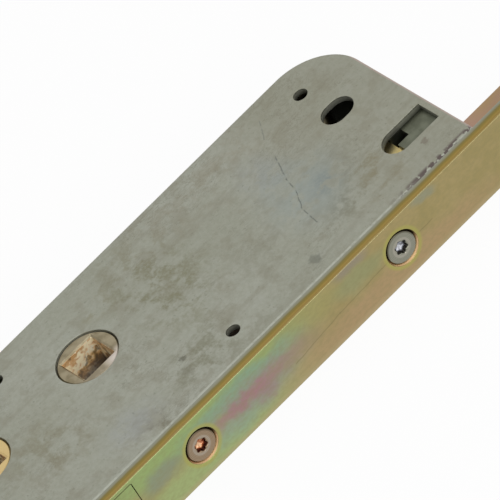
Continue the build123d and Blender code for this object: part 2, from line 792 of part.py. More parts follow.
# Lower rail: the same, with a notch at its top end for the key cylinder's screw
with BuildPart() as lower_rail:
    lower_hook_z = hook_heights[1]
    screw_notch = cylinder_screw_radius + rail_slot_gap
    with BuildSketch(front_plane(rail_back)):
        panel(-rail_half, rail_half, lower_hook_z - rail_end_drop, lower_rail_top)
        panel_cut(slide_near, rail_half, lower_tongue_bottom, lower_rail_top)
    extrude(amount=rail_thickness)
    with BuildSketch(front_plane(rail_back)):
        for height in guide_heights[2:]:
            guide_slot(height)
        panel(-hook_slot_width / 2, hook_slot_width / 2, lower_hook_z - rail_slot_drop,
              lower_hook_z + housing_screw_rise + housing_boss_half_height + 2 * housing_boss_gap)
        with Locations((0, roller_heights[1])):
            Circle(roller_pin_radius)
        panel(-screw_notch, screw_notch,
              cylinder_z - cylinder_screw_drop - rail_travel - screw_notch, lower_rail_top)
    extrude(amount=rail_thickness, mode=Mode.SUBTRACT)
    add(lower_ears)
    with Locations(*side_places(slide_near, [((tongue_back + slide_front) / 2, lower_rivet_height)])):
        Hole(rivet_radius)
finish(lower_rail.part, "lower_rail")

# Rivets that join the drive slide's tongues to the rails
with BuildPart() as rail_rivets:
    with BuildSketch(side_plane(slide_far)):
        with Locations(((tongue_back + slide_front) / 2, upper_rivet_height),
                       ((tongue_back + slide_front) / 2, lower_rivet_height)):
            Circle(rivet_radius)
    extrude(amount=slide_far + rail_half)
finish(rail_rivets.part, "rail_rivets")

# Guide bushes: hollow, fixed to the faceplate, with a head behind the rail
with BuildPart() as rail_guides:
    with BuildSketch(front_plane(rail_back - layer_gap)):
        with Locations(*[(0, height) for height in guide_heights]):
            Circle(guide_radius)
    extrude(amount=plate_rear - rail_back + layer_gap)
    with BuildSketch(front_plane(rail_back - layer_gap - guide_head_thickness)):
        with Locations(*[(0, height) for height in guide_heights]):
            Circle(guide_head_radius)
    extrude(amount=guide_head_thickness)
    with Locations(*front_places(plate_rear, guide_heights)):
        Hole(door_screw_radius)
finish(rail_guides.part, "rail_guides")

# Roller pins in the rails, and the rollers that turn on them in front of the faceplate
roller_back = plate_front + roller_gap
roller_front = roller_back + roller_length
with BuildPart() as roller_pins:
    with BuildSketch(front_plane(rail_back)):
        with Locations(*[(0, height) for height in roller_heights]):
            Circle(roller_pin_radius)
    extrude(amount=roller_front + roller_bore_gap - rail_back)
    with BuildSketch(front_plane(roller_front + roller_bore_gap)):
        with Locations(*[(0, height) for height in roller_heights]):
            Circle(roller_pin_head_radius)
    extrude(amount=roller_pin_head)
    chamfer(roller_pins.faces().group_by(Axis.X)[-1].edges(), roller_pin_head / 3)
finish(roller_pins.part, "roller_pins")


def build_roller(height):
    """A turned roller with a wider outer flange."""
    with BuildPart(mode=Mode.PRIVATE) as roller:
        with BuildSketch(Plane.XZ):
            with BuildLine():
                Polyline(
                    (roller_back, height + roller_pin_radius + roller_bore_gap),
                    (roller_back, height + roller_radius),
                    (roller_front - 2 * roller_flange, height + roller_radius),
                    (roller_front - roller_flange, height + roller_flange_radius),
                    (roller_front, height + roller_flange_radius),
                    (roller_front, height + roller_pin_radius + roller_bore_gap),
                    close=True,
                )
            make_face()
        revolve(axis=Axis((0, 0, height), (1, 0, 0)))
        chamfer(roller.edges().filter_by(GeomType.CIRCLE).sort_by(SortBy.RADIUS)[-2:], roller_chamfer)
    return roller.part


finish(build_roller(roller_heights[0]), "upper_roller")
finish(build_roller(roller_heights[1]), "lower_roller")


def claw_outline():
    """Arm and claw of a hook, drawn thrown, with its pivot at the sketch's origin."""
    with BuildSketch(mode=Mode.PRIVATE) as claw:
        with BuildLine():
            Polyline(
                (0, hook_arm_bottom),
                (hook_reach, hook_arm_bottom),
                (hook_reach, hook_claw_height),
                (hook_reach - hook_claw_width * 2 / 3, hook_claw_height),
                (hook_reach - hook_claw_width, hook_arm_top),
                (0, hook_arm_top),
                close=True,
            )
        make_face()
        corners = claw.vertices().sort_by(Axis.X)
        fillet(corners[-2:], hook_claw_round)
        fillet(corners[-3], hook_tip_round)
        fillet(corners[-4], hook_inner_round)
    return claw.sketch


def build_hook(height):
    """Hook, drawn thrown and turned back to where it rests inside its housing."""
    with BuildPart(mode=Mode.PRIVATE) as hook:
        with BuildSketch(side_plane(hook_thickness / 2)):
            with Locations(Location((hook_pivot_x, height, 0), (0, 0, -hook_swing))):
                add(claw_outline())
                Circle(hook_hub_radius)
                Circle(hook_pin_radius + hook_pin_gap, mode=Mode.SUBTRACT)
        extrude(amount=hook_thickness)
    return hook.part


def build_pinions(height):
    """The pair of discs on the two sides of a hook, toothed where they meet the rail's racks."""
    with BuildPart(mode=Mode.PRIVATE) as pinions:
        outer_side = hook_thickness / 2 + pinion_thickness
        with BuildSketch(side_plane(outer_side), side_plane(-hook_thickness / 2)):
            with Locations((hook_pivot_x, height)):
                Circle(hook_pitch_radius - hook_dedendum)
                counts = range(hook_first_tooth, hook_last_tooth + 1)
                with Locations(*[Location((0, 0, 0), (0, 0, count * 360 / hook_teeth)) for count in counts]):
                    add(gear_tooth(hook_pitch_radius, hook_pitch))
                Circle(hook_pin_radius + hook_pin_gap, mode=Mode.SUBTRACT)
        extrude(amount=pinion_thickness)
    return pinions.part


def build_housing(height):
    """Hook housing: a cast tray with screw bosses, open at the front and where the rail passes."""
    bottom = height - housing_bottom_drop
    top = height + housing_top_rise
    with BuildPart(mode=Mode.PRIVATE) as housing:
        with BuildSketch(side_plane(case_half)):
            panel(housing_back, plate_rear, bottom, top)
            fillet(vertices().group_by(Axis.X)[0], housing_corner)
        extrude(amount=case_half + inner_half)
        with BuildSketch(side_plane(inner_half)):
            panel(housing_back + case_wall, plate_rear, bottom + case_wall, top - case_wall)
            fillet(vertices().group_by(Axis.X)[0], housing_corner - case_wall)
        extrude(amount=inner_depth, mode=Mode.SUBTRACT)
        with BuildSketch(side_plane(inner_half)):
            panel(rail_back - rail_end_gap, plate_rear, bottom, top)
        extrude(amount=inner_depth, mode=Mode.SUBTRACT)
        boss_heights = (height + housing_screw_rise, height - housing_screw_drop)
        with BuildSketch(side_plane(inner_half)):
            for boss in boss_heights:
                panel(housing_boss_back, hook_pivot_x + hook_pitch_radius - hook_addendum - rack_tip_gap,
                      boss - housing_boss_half_height, boss + housing_boss_half_height)
        extrude(amount=inner_depth)
        with BuildSketch(side_plane(slot_half - housing_boss_gap)):
            for boss in boss_heights:
                panel(housing_boss_back, plate_rear,
                      boss - housing_boss_half_height, boss + housing_boss_half_height)
        extrude(amount=2 * (slot_half - housing_boss_gap))
        with Locations(*front_places(plate_rear, boss_heights)):
            Hole(screw_shank_radius + screw_thread_gap, depth=plate_rear - housing_boss_back)
    return housing.part


def build_housing_cover(height):
    """Flat cover plate of a hook housing."""
    with BuildPart(mode=Mode.PRIVATE) as cover:
        with BuildSketch(side_plane(-inner_half)):
            panel(housing_back, plate_rear, height - housing_bottom_drop, height + housing_top_rise)
            fillet(vertices().group_by(Axis.X)[0], housing_corner)
        extrude(amount=case_wall)
    return cover.part


def build_hook_pivot(height):
    """Pin that a hook turns on, between the housing's two plates."""
    with BuildPart(mode=Mode.PRIVATE) as pivot:
        with BuildSketch(side_plane(inner_half)):
            with Locations((hook_pivot_x, height)):
                Circle(hook_pin_radius)
        extrude(amount=inner_depth)
    return pivot.part


for side, height in zip(("upper", "lower"), hook_heights):
    finish(build_hook(height), f"{side}_hook")
    finish(build_pinions(height), f"{side}_hook_pinions")
    finish(build_housing(height), f"{side}_hook_housing")
    finish(build_housing_cover(height), f"{side}_hook_cover")
    finish(build_hook_pivot(height), f"{side}_hook_pivot")

# Locking catch beside the key cylinder, its pivot pin and its stud
catch_lean = degrees(asin(catch_x / (catch_x**2 + catch_z**2) ** 0.5))
catch_far = bolt_far
catch_length = (catch_x**2 + catch_z**2) ** 0.5
with BuildPart() as locking_catch:
    with BuildSketch(side_plane(catch_far)):
        with Locations((catch_pivot_x, catch_pivot_z)):
            Circle(catch_hub_radius)
        with Locations((catch_stud_x, catch_stud_z)):
            Circle(catch_half_width + case_wall / 3)
        with Locations(Location(((catch_pivot_x + catch_stud_x) / 2, (catch_pivot_z + catch_stud_z) / 2, 0),
                                (0, 0, -catch_lean))):
            Rectangle(2 * catch_half_width, catch_length)
        with BuildLine():
            Polyline(
                (catch_pivot_x, catch_pad_bottom - catch_half_width),
                (catch_pad_reach, catch_pad_bottom),
                (catch_pad_reach, catch_pad_top),
                (catch_pivot_x, catch_pad_top + catch_half_width),
                close=True,
            )
        make_face()
        with Locations((catch_pivot_x, catch_pivot_z)):
            Circle(catch_pin_radius + catch_pin_gap, mode=Mode.SUBTRACT)
    extrude(amount=catch_thickness)
finish(locking_catch.part, "locking_catch")

with BuildPart() as catch_stud:
    with BuildSketch(side_plane(slide_far)):
        with Locations((catch_stud_x, catch_stud_z)):
            Circle(catch_stud_radius)
    extrude(amount=slide_far - catch_far)
finish(catch_stud.part, "catch_stud")

with BuildPart() as catch_pivot:
    with BuildSketch(side_plane(inner_half)):
        with Locations((catch_pivot_x, catch_pivot_z)):
            Circle(catch_pin_radius)
    extrude(amount=inner_depth)
finish(catch_pivot.part, "catch_pivot")

# Detent spring and its post
with BuildPart() as detent_post:
    with BuildSketch(side_plane(inner_half)):
        with Locations((detent_post_x, detent_post_z)):
            Circle(detent_post_radius)
    extrude(amount=inner_depth)
finish(detent_post.part, "detent_post")

leaf_far = slide_far - layer_gap
leaf_depth = slide_thickness - 2 * layer_gap
leaf_face = detent_post_x + detent_post_radius
nose_x = slide_back + detent_depth - detent_gap - detent_leaf
with BuildPart() as detent_spring:
    with BuildSketch(side_plane(leaf_far)):
        with BuildLine() as leaf_line:
            Polyline(
                (leaf_face + detent_leaf / 2, detent_post_z + detent_rise),
                (leaf_face + detent_leaf / 2, detent_post_z - detent_rise),
                (slide_back - detent_rise, detent_height + detent_rise),
                (nose_x, detent_height),
                (slide_back - detent_rise, detent_height - detent_rise),
            )
            offset(amount=detent_leaf / 2, side=Side.BOTH)
        make_face()
    extrude(amount=leaf_depth)
finish(detent_spring.part, "detent_spring")
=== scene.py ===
# %% [markdown]
# # A multipoint door lock in Blender
#
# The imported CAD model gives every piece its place. This notebook dresses it: it frames the lock
# through a long lens, makes plated-steel materials whose stains and rainbow tints are worked out
# from noise, and swaps the plates, screws and latch spring for finer meshes.
#
# Everything is in metres. X points out of the door's edge, Z up, and the near side faces -Y.

# %% Load the frame
import bpy
import bmesh
import json
from math import asin, cos, degrees, pi, radians, sin
from mathutils import Matrix, Vector


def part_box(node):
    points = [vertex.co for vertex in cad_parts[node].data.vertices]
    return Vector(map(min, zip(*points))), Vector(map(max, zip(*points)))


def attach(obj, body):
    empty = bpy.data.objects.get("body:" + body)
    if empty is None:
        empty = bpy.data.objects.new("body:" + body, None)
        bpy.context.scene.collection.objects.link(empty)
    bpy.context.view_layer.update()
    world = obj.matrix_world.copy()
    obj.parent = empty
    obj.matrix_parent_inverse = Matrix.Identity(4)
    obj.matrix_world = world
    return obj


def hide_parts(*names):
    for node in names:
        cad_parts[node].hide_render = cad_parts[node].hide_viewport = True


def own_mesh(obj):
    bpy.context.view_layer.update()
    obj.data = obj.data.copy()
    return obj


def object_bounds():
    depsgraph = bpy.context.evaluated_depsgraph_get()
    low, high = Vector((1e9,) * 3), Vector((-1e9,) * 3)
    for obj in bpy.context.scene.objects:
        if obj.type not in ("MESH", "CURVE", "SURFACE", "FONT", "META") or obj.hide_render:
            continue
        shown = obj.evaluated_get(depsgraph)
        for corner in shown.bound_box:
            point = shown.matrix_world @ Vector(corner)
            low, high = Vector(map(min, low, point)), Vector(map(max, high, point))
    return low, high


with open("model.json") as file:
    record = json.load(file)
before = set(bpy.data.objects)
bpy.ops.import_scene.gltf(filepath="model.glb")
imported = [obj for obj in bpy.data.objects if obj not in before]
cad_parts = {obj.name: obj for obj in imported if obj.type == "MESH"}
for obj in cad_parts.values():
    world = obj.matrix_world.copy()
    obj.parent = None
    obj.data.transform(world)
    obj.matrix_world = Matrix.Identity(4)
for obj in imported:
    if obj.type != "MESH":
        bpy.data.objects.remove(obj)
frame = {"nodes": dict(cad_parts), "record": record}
cad_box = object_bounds()
nodes = frame["nodes"]
scene = bpy.context.scene
mm = 0.001

print("CAD box in mm:", [tuple(round(v / mm, 1) for v in corner) for corner in cad_box])

# %% [markdown]
# ## Places
#
# The finer plates have to sit exactly where the solids are. Their places could be typed in again,
# but then a change to the solids would leave them behind, so they are read from the nodes' boxes.
# The heights are the lock's own, from the axis of the upper spindle.

# %% Boxes and heights
plate_low, plate_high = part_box("faceplate")
cover_low, cover_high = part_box("case_cover")
insert_low, insert_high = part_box("latch_insert")
bolt_low, bolt_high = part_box("deadbolt")
lower_hub_height = sum(corner.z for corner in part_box("lower_follower")) / 2

case_screw_heights = [54.7 * mm, -0.9 * mm, -98.0 * mm]
hook_heights = [280.0 * mm, -330.0 * mm]
housing_screw_heights = [h + rise for h in hook_heights for rise in (21.0 * mm, -43.0 * mm)]
screw_heights = case_screw_heights + housing_screw_heights

print("faceplate in mm:", [round(v / mm, 2) for v in plate_high - plate_low])

# %% [markdown]
# ## Camera
#
# The photograph was fitted as a view without perspective. An orthographic camera would show the
# same, but a real picture has a lens, so the camera stands far back behind a very long one. The
# directions below are the picture's right and the way back to the camera, and one known point,
# the upper spindle's axis on the near plate, fixes the framing.

# %% Camera at the photograph's angle
picture_side = 500
pixels_per_mm = 5.164
anchor_pixel = (86.87, 356.55)
anchor_point = Vector((0.0, cover_low.y, 0.0))
camera_right = Vector((0.5747, 0.4321, 0.6950)).normalized()
camera_back = Vector((0.7413, -0.6346, -0.2185)).normalized()
camera_up = camera_back.cross(camera_right).normalized()
camera_right = camera_up.cross(camera_back).normalized()
camera_distance = 4.0
sensor_width = 36.0

picture_width = picture_side / pixels_per_mm * mm
across = (picture_side / 2 - anchor_pixel[0]) / pixels_per_mm * mm
upward = (anchor_pixel[1] - picture_side / 2) / pixels_per_mm * mm
aim = anchor_point + camera_right * across + camera_up * upward

camera = bpy.data.objects.new("camera", bpy.data.cameras.new("camera"))
scene.collection.objects.link(camera)
scene.camera = camera
camera.data.sensor_width = sensor_width
camera.data.lens = sensor_width * camera_distance / picture_width
camera.data.clip_start = 0.1
camera.data.clip_end = 50.0
camera.matrix_world = Matrix.Translation(aim + camera_back * camera_distance) @ Matrix(
    (camera_right, camera_up, camera_back)).transposed().to_4x4()

print("lens in mm:", round(camera.data.lens), "picture width in mm:", round(picture_width / mm, 1))

# %% [markdown]
# ## Shader nodes in few words
#
# A material is a graph of nodes, and links typed one by one take a line each. These helpers take
# a node's output or a plain number alike, so a formula reads as a formula, and they find the tree
# from the output. Colours are written in sRGB from 0 to 255, as a colour picker shows them.

# %% Helpers for nodes
def add_node(near, kind, **settings):
    """A new node in the tree that near is or is part of. Keywords set properties, or else inputs."""
    node = near.id_data.nodes.new(kind)
    for name, value in settings.items():
        if hasattr(node, name):
            setattr(node, name, value)
        else:
            node.inputs[name.replace("_", " ")].default_value = value
    return node


def feed(socket, value):
    """Gives an input its value: another node's output, or a plain number or vector."""
    if isinstance(value, bpy.types.NodeSocket):
        socket.id_data.links.new(value, socket)
    else:
        socket.default_value = value


def calculate(operation, *values, **settings):
    """A Math node. The first value is an output, and the others are outputs or numbers."""
    node = add_node(values[0], "ShaderNodeMath", operation=operation, **settings)
    for socket, value in zip(node.inputs, values):
        feed(socket, value)
    return node.outputs[0]


def coordinates(place):
    """The X, Y and Z of a vector, as three values."""
    node = add_node(place, "ShaderNodeSeparateXYZ")
    feed(node.inputs[0], place)
    return node.outputs


def srgb(colour):
    """A linear RGBA colour from an sRGB colour of 0 to 255, or from one grey value."""
    values = colour if isinstance(colour, tuple) else (colour,) * 3
    shares = [v / 255 for v in values]
    return tuple(s / 12.92 if s <= 0.04045 else ((s + 0.055) / 1.055) ** 2.4 for s in shares) + (1.0,)


def ramp(value, stops):
    """Turns a value into a colour, through these (value, colour) stops."""
    node = add_node(value, "ShaderNodeValToRGB")
    elements = node.color_ramp.elements
    while len(elements) < len(stops):
        elements.new(0.5)
    for element, (place, colour) in zip(elements, stops):
        element.position = place
        element.color = srgb(colour)
    feed(node.inputs[0], value)
    return node.outputs[0]


def mix_shaders(share, first, second):
    """Mixes two shaders. share is an output or a number."""
    node = add_node(first, "ShaderNodeMixShader")
    for socket, value in zip(node.inputs, (share, first, second)):
        feed(socket, value)
    return node.outputs[0]


print("node helpers ready")

# %% [markdown]
# ## Light and backdrop
#
# Plating mirrors its surroundings, and a room would put dark corners in it. So the world is plain
# white to the camera, in reflections and through glass. For everything else it brightens from
# below to above, so that a dull wall that faces down stays darker.

# %% World
scene.view_settings.view_transform = "Standard"
world = bpy.data.worlds.new("studio")
scene.world = world
world.use_nodes = True
sky = world.node_tree
sky.nodes.clear()

direction = add_node(sky, "ShaderNodeTexCoord").outputs["Generated"]
height_share = add_node(sky, "ShaderNodeMapRange", From_Min=-1.0)
feed(height_share.inputs["Value"], coordinates(direction)["Z"])
sky_greys = [(0.0, 120), (0.35, 165), (0.55, 205), (0.8, 250), (1.0, 255)]
glow = add_node(sky, "ShaderNodeBackground", Strength=0.9)
feed(glow.inputs["Color"], ramp(height_share.outputs[0], sky_greys))
plain = add_node(sky, "ShaderNodeBackground", Strength=1.0, Color=srgb(255))

ray = add_node(sky, "ShaderNodeLightPath")
seen = ray.outputs["Is Camera Ray"]
for kind in ("Is Glossy Ray", "Is Transmission Ray"):
    seen = calculate("MAXIMUM", seen, ray.outputs[kind])
world_out = add_node(sky, "ShaderNodeOutputWorld")
feed(world_out.inputs["Surface"], mix_shaders(seen, glow.outputs[0], plain.outputs[0]))
print("world greys, upwards:", [grey for place, grey in sky_greys])

# %% [markdown]
# ### Floor
#
# The lock lies on its far side on a white table, so the floor is a plane behind it that faces -Y.
# Only a camera in front of it sees it, so that the far side of the lock can be looked at too. A
# lit white floor would turn grey, so most of its white is its own, and the rest takes the shadow.

# %% Floor
floor_reach = 6.0
floor_white = 0.94
floor_y = cad_box[1].y
floor_mesh = bpy.data.meshes.new("floor")
floor_corners = [(floor_reach * x, floor_y, floor_reach * z) for x, z in ((-1, -1), (1, -1), (1, 1), (-1, 1))]
floor_mesh.from_pydata(floor_corners, [], [(0, 1, 2, 3)])
floor = bpy.data.objects.new("floor", floor_mesh)
scene.collection.objects.link(floor)

floor_paint = bpy.data.materials.new("floor")
floor_paint.use_nodes = True
floor_tree = floor_paint.node_tree
floor_tree.nodes.clear()
matt = add_node(floor_tree, "ShaderNodeBsdfDiffuse", Color=srgb(252))
white = add_node(floor_tree, "ShaderNodeEmission", Strength=1.0)
clear = add_node(floor_tree, "ShaderNodeBsdfTransparent")
painted = mix_shaders(floor_white, matt.outputs[0], white.outputs[0])
from_camera = add_node(floor_tree, "ShaderNodeLightPath").outputs["Is Camera Ray"]
from_behind = add_node(floor_tree, "ShaderNodeNewGeometry").outputs["Backfacing"]
in_front = calculate("SUBTRACT", from_camera, from_behind, use_clamp=True)
floor_out = add_node(floor_tree, "ShaderNodeOutputMaterial")
feed(floor_out.inputs["Surface"], mix_shaders(in_front, clear.outputs[0], painted))
floor_mesh.materials.append(floor_paint)
print("floor at y in mm:", round(floor_y / mm, 1))

# %% [markdown]
# ### Lamps
#
# Small lamps would draw hard sparks on every rolled edge. These are wide squares, set by their
# direction from the lock: the key light comes from above and the left, a second one grazes the top
# edges from behind, and the third fills the shadows from near the camera.

# %% Lamps
def add_light(name, away, size, power):
    """A square soft light, placed by a direction and distance from the lock and aimed at it."""
    light = bpy.data.objects.new(name, bpy.data.lights.new(name, "AREA"))
    light.data.energy = power
    light.data.size = size
    light.location = away
    light.rotation_euler = (-Vector(away)).to_track_quat("-Z", "Y").to_euler()
    scene.collection.objects.link(light)


add_light("key_light", camera_back * 0.6 + camera_up * 1.1 - camera_right * 0.7, size=1.0, power=2.6)
add_light("edge_light", camera_up * 1.3 - camera_back * 0.5 + camera_right * 0.3, size=0.8, power=1.6)
add_light("fill_light", camera_back * 1.25 + camera_right * 0.35, size=0.8, power=5.0)

# %% [markdown]
# ## Plated metal
#
# Every finish of the lock is a plating on steel or zinc. An image of it would be quick, but it
# would stretch on some faces and show its edges. Noise has none and follows the piece's own
# millimetres: a range of its values becomes a share, and the share mixes a colour over another.

# %% Noise, shares and colours
def vector_math(operation, *values):
    """A Vector Math node. The first value is an output, and the others are outputs or vectors."""
    node = add_node(values[0], "ShaderNodeVectorMath", operation=operation)
    for socket, value in zip(node.inputs, values):
        feed(socket, value)
    return node.outputs["Value" if operation in ("LENGTH", "DISTANCE", "DOT_PRODUCT") else "Vector"]


def noise(place, per_mm, detail=2.0, stretch=None, distortion=0.0, roughness=0.5):
    """Noise with this many features per millimetre. A stretch under 1 draws it out along that axis."""
    if stretch:
        place = vector_math("MULTIPLY", place, stretch)
    texture = add_node(place, "ShaderNodeTexNoise", Scale=per_mm, Detail=detail, Distortion=distortion,
                       Roughness=roughness)
    feed(texture.inputs["Vector"], place)
    return texture.outputs["Fac"]


def band(value, low, high, to_low=0.0, to_high=1.0):
    """Maps a value from low..high to to_low..to_high, clamped and eased."""
    node = add_node(value, "ShaderNodeMapRange", interpolation_type="SMOOTHSTEP",
                    From_Min=low, From_Max=high, To_Min=to_low, To_Max=to_high)
    feed(node.inputs["Value"], value)
    return node.outputs[0]


def times(first, *others):
    """Product of an output and other outputs or numbers."""
    for other in others:
        first = calculate("MULTIPLY", first, other)
    return first


def mix(share, under, over):
    """Mixes two colours, each an output or an sRGB colour. share is an output."""
    node = add_node(share, "ShaderNodeMix", data_type="RGBA")
    feed(node.inputs["Factor"], share)
    colours = [s for s in node.inputs if s.type == "RGBA"]
    for socket, value in zip(colours, (under, over)):
        feed(socket, srgb(value) if isinstance(value, tuple) else value)
    return [s for s in node.outputs if s.type == "RGBA"][0]


print("noise helpers ready")

# %% [markdown]
# ### One metal for all
#
# Every material starts as the same metal shader, with a roughness that wanders, and ends with its
# colour and a fine grain. The wall of a deep hole would only mirror the dark in it, so there the
# shader can be made less metallic.

# %% A metal shader
def metal(name, roughness, spread=0.08):
    """A new metal material. Returns it with its shader and its object coordinates in mm."""
    made = bpy.data.materials.new(name)
    made.use_nodes = True
    tree = made.node_tree
    tree.nodes.clear()
    shader = add_node(tree, "ShaderNodeBsdfPrincipled", Metallic=1.0)
    feed(add_node(tree, "ShaderNodeOutputMaterial").inputs["Surface"], shader.outputs[0])
    metres = add_node(tree, "ShaderNodeTexCoord").outputs["Object"]
    place = vector_math("MULTIPLY", metres, (1 / mm,) * 3)
    rough = add_node(tree, "ShaderNodeMapRange", To_Min=roughness - spread, To_Max=roughness + spread)
    feed(rough.inputs["Value"], noise(place, 0.35, detail=4.0))
    feed(shader.inputs["Roughness"], rough.outputs[0])
    return made, shader, place


def plate(shader, colour, height, strength, depth_mm):
    """Gives the shader its colour, and a grain from a height."""
    feed(shader.inputs["Base Color"], colour)
    grain = add_node(shader, "ShaderNodeBump", Strength=strength, Distance=depth_mm * mm)
    feed(grain.inputs["Height"], height)
    feed(shader.inputs["Normal"], grain.outputs[0])


def less_metal(shader, inside, share):
    """Makes the shader less metallic where inside is 1."""
    feed(shader.inputs["Metallic"], band(inside, 0.0, 1.0, 1.0, share))


print("metal shader ready")

# %% [markdown]
# ### Where a mark lies
#
# Stains, tints and scratches sit at chosen places on the plates. They could be painted, but these
# are worked out: a patch is an ellipse that fades out, and a scratch is the distance to a line
# between two points. Where noise pushes the place about first, the mark loses its drawn edge.

# %% Patches and scratches
scratch_width = 0.2


def wobbled(place, per_mm, amount_mm):
    """The place, pushed about by noise."""
    texture = add_node(place, "ShaderNodeTexNoise", Scale=per_mm, Detail=3.0)
    feed(texture.inputs["Vector"], place)
    centred = vector_math("SUBTRACT", texture.outputs["Color"], (0.5, 0.5, 0.5))
    return vector_math("ADD", place, vector_math("MULTIPLY", centred, (2 * amount_mm,) * 3))


def patch(place, centre, reach, softness):
    """1 in the middle of an ellipse and 0 outside it. A reach of None leaves that axis out."""
    shares = tuple(0.0 if r is None else 1.0 / r for r in reach)
    away = vector_math("MULTIPLY", vector_math("SUBTRACT", place, centre), shares)
    return band(vector_math("LENGTH", away), 1.0 - softness, 1.0 + softness, 1.0, 0.0)


def scratch(place, start, end, flat):
    """1 on the line between two points and 0 beside it. flat has a 0 for the axis to leave out."""
    along = Vector(end) - Vector(start)
    away = vector_math("MULTIPLY", vector_math("SUBTRACT", place, start), flat)
    dot = vector_math("DOT_PRODUCT", away, tuple(along / along.length_squared))
    clamped = add_node(dot, "ShaderNodeClamp")
    feed(clamped.inputs["Value"], dot)
    nearest = vector_math("MULTIPLY", clamped.outputs[0], tuple(along))
    gap = vector_math("DISTANCE", away, nearest)
    return band(gap, scratch_width * 0.3, scratch_width, 1.0, 0.0)


def lay_tints(place, colour, layers):
    """Lays tints over a colour, each where its own noise passes from low to high."""
    for grain, (low, high), strength, tint in layers:
        share = band(noise(place, **grain), low, high, 0.0, strength)
        colour = mix(share, colour, tint)
    return colour


def lay_patches(place, colour, patches, softness, *shares):
    """Lays patches of tint over a colour, as far as the shares let them show."""
    for centre, reach, strength, tint in patches:
        near = patch(place, centre, reach, softness)
        colour = mix(times(near, *shares, strength), colour, tint)
    return colour


def lay_scratch(place, colour, points, flat, tint, *shares):
    """Lays a scratch over a colour, from point to point."""
    for start, end in zip(points, points[1:]):
        mark = scratch(place, start, end, flat)
        colour = mix(times(mark, *shares), colour, tint)
    return colour


print("marks ready")

# %% [markdown]
# ### The case: dull zinc
#
# The case is pressed from steel and zinc-plated: grey-green, with faint brown smudges, a bluish
# bloom and a long hair scratch, with painted highlights along its front edge and top rim. The even
# part of it is laid in layers of noise, from cloud to sand, and the stains have their places in
# tables, so that one can be moved without touching the shader. Inside the case the colour is darker,
# as painted shade.

# %% What lies on the case
# A layer: its noise, the noise's values where it comes in, its strength and its tint
case_layers = [(dict(per_mm=1.1, detail=6.0), (0.3, 0.75), 0.45, (130, 131, 116)),
               (dict(per_mm=3.2, detail=3.0, roughness=0.7), (0.35, 0.7), 0.35, (158, 158, 146)),
               (dict(per_mm=1.3, detail=2.0, roughness=0.6), (0.66, 0.72), 0.5, (112, 112, 98)),
               (dict(per_mm=0.9, detail=3.0, stretch=(1.0, 1.0, 0.04)), (0.45, 0.75), 0.25, (150, 152, 142)),
               (dict(per_mm=0.5, detail=5.0, stretch=(1.0, 1.0, 0.1), roughness=0.6), (0.5, 0.72), 0.35,
                (128, 126, 112))]
blotch = dict(per_mm=0.16, detail=9.0, distortion=0.2, roughness=0.66)
case_blotches = [(blotch, (0.50, 0.62), 0.40, (127, 124, 108)),
                 (blotch, (0.42, 0.34), 0.35, (156, 158, 149))]

# A patch: its middle and its reach in mm, its strength and its tint
case_smudges = [((0, 0, 20), (15, None, 9), 0.68, (115, 113, 89)),
                ((24, 0, 12), (6, None, 8), 0.6, (110, 109, 88)),
                ((-9, 0, 9), (3, None, 4), 0.5, (122, 117, 92)),
                ((20, 0, 62), (8, None, 7), 0.75, (126, 121, 99)),
                ((22, 0, 54), (4, None, 4), 0.6, (114, 112, 94)),
                ((13, 0, 56), (3, None, 3), 0.7, (106, 112, 110)),
                ((16, 0, 37), (10, None, 5), 0.4, (122, 120, 104)),
                ((12, 0, -20), (8, None, 9), 0.5, (118, 113, 90)),
                ((-12, 0, 40), (6, None, 20), 0.4, (130, 124, 106)),
                ((29.5, 0, -3), (3, None, 5), 0.7, (112, 108, 92)),
                ((29, 0, 24), (3, None, 12), 0.35, (120, 118, 102))]
case_spots = [((27.0, 0, 41.3), (1.5, None, 1.1), 0.6, (104, 106, 96)),
              ((20.4, 0, 9.8), (0.7, None, 0.6), 0.7, (96, 96, 84)),
              ((25.0, 0, 73.5), (1.0, None, 0.7), 0.6, (112, 104, 92)),
              ((24.0, 0, 8.3), (1.6, None, 1.0), 0.35, (112, 110, 96))]
case_bloom = [((-2, 0, 50), (6, None, 4), 0.35, (138, 144, 145)),
              ((11, 0, 53), (9, None, 8), 0.45, (132, 143, 143)),
              ((24, 0, -7), (4, None, 6), 0.25, (138, 142, 152))]
hair_line = [(-3.0, 0, 55.0), (4.0, 0, 52.3), (9.0, 0, 51.0), (14.0, 0, 48.6), (19.5, 0, 48.0)]
faint_line = [(-14.0, 0, 59.6), (-9.0, 0, 57.0)]
print("marks on the case:", len(case_smudges) + len(case_spots) + len(case_bloom) + 2)

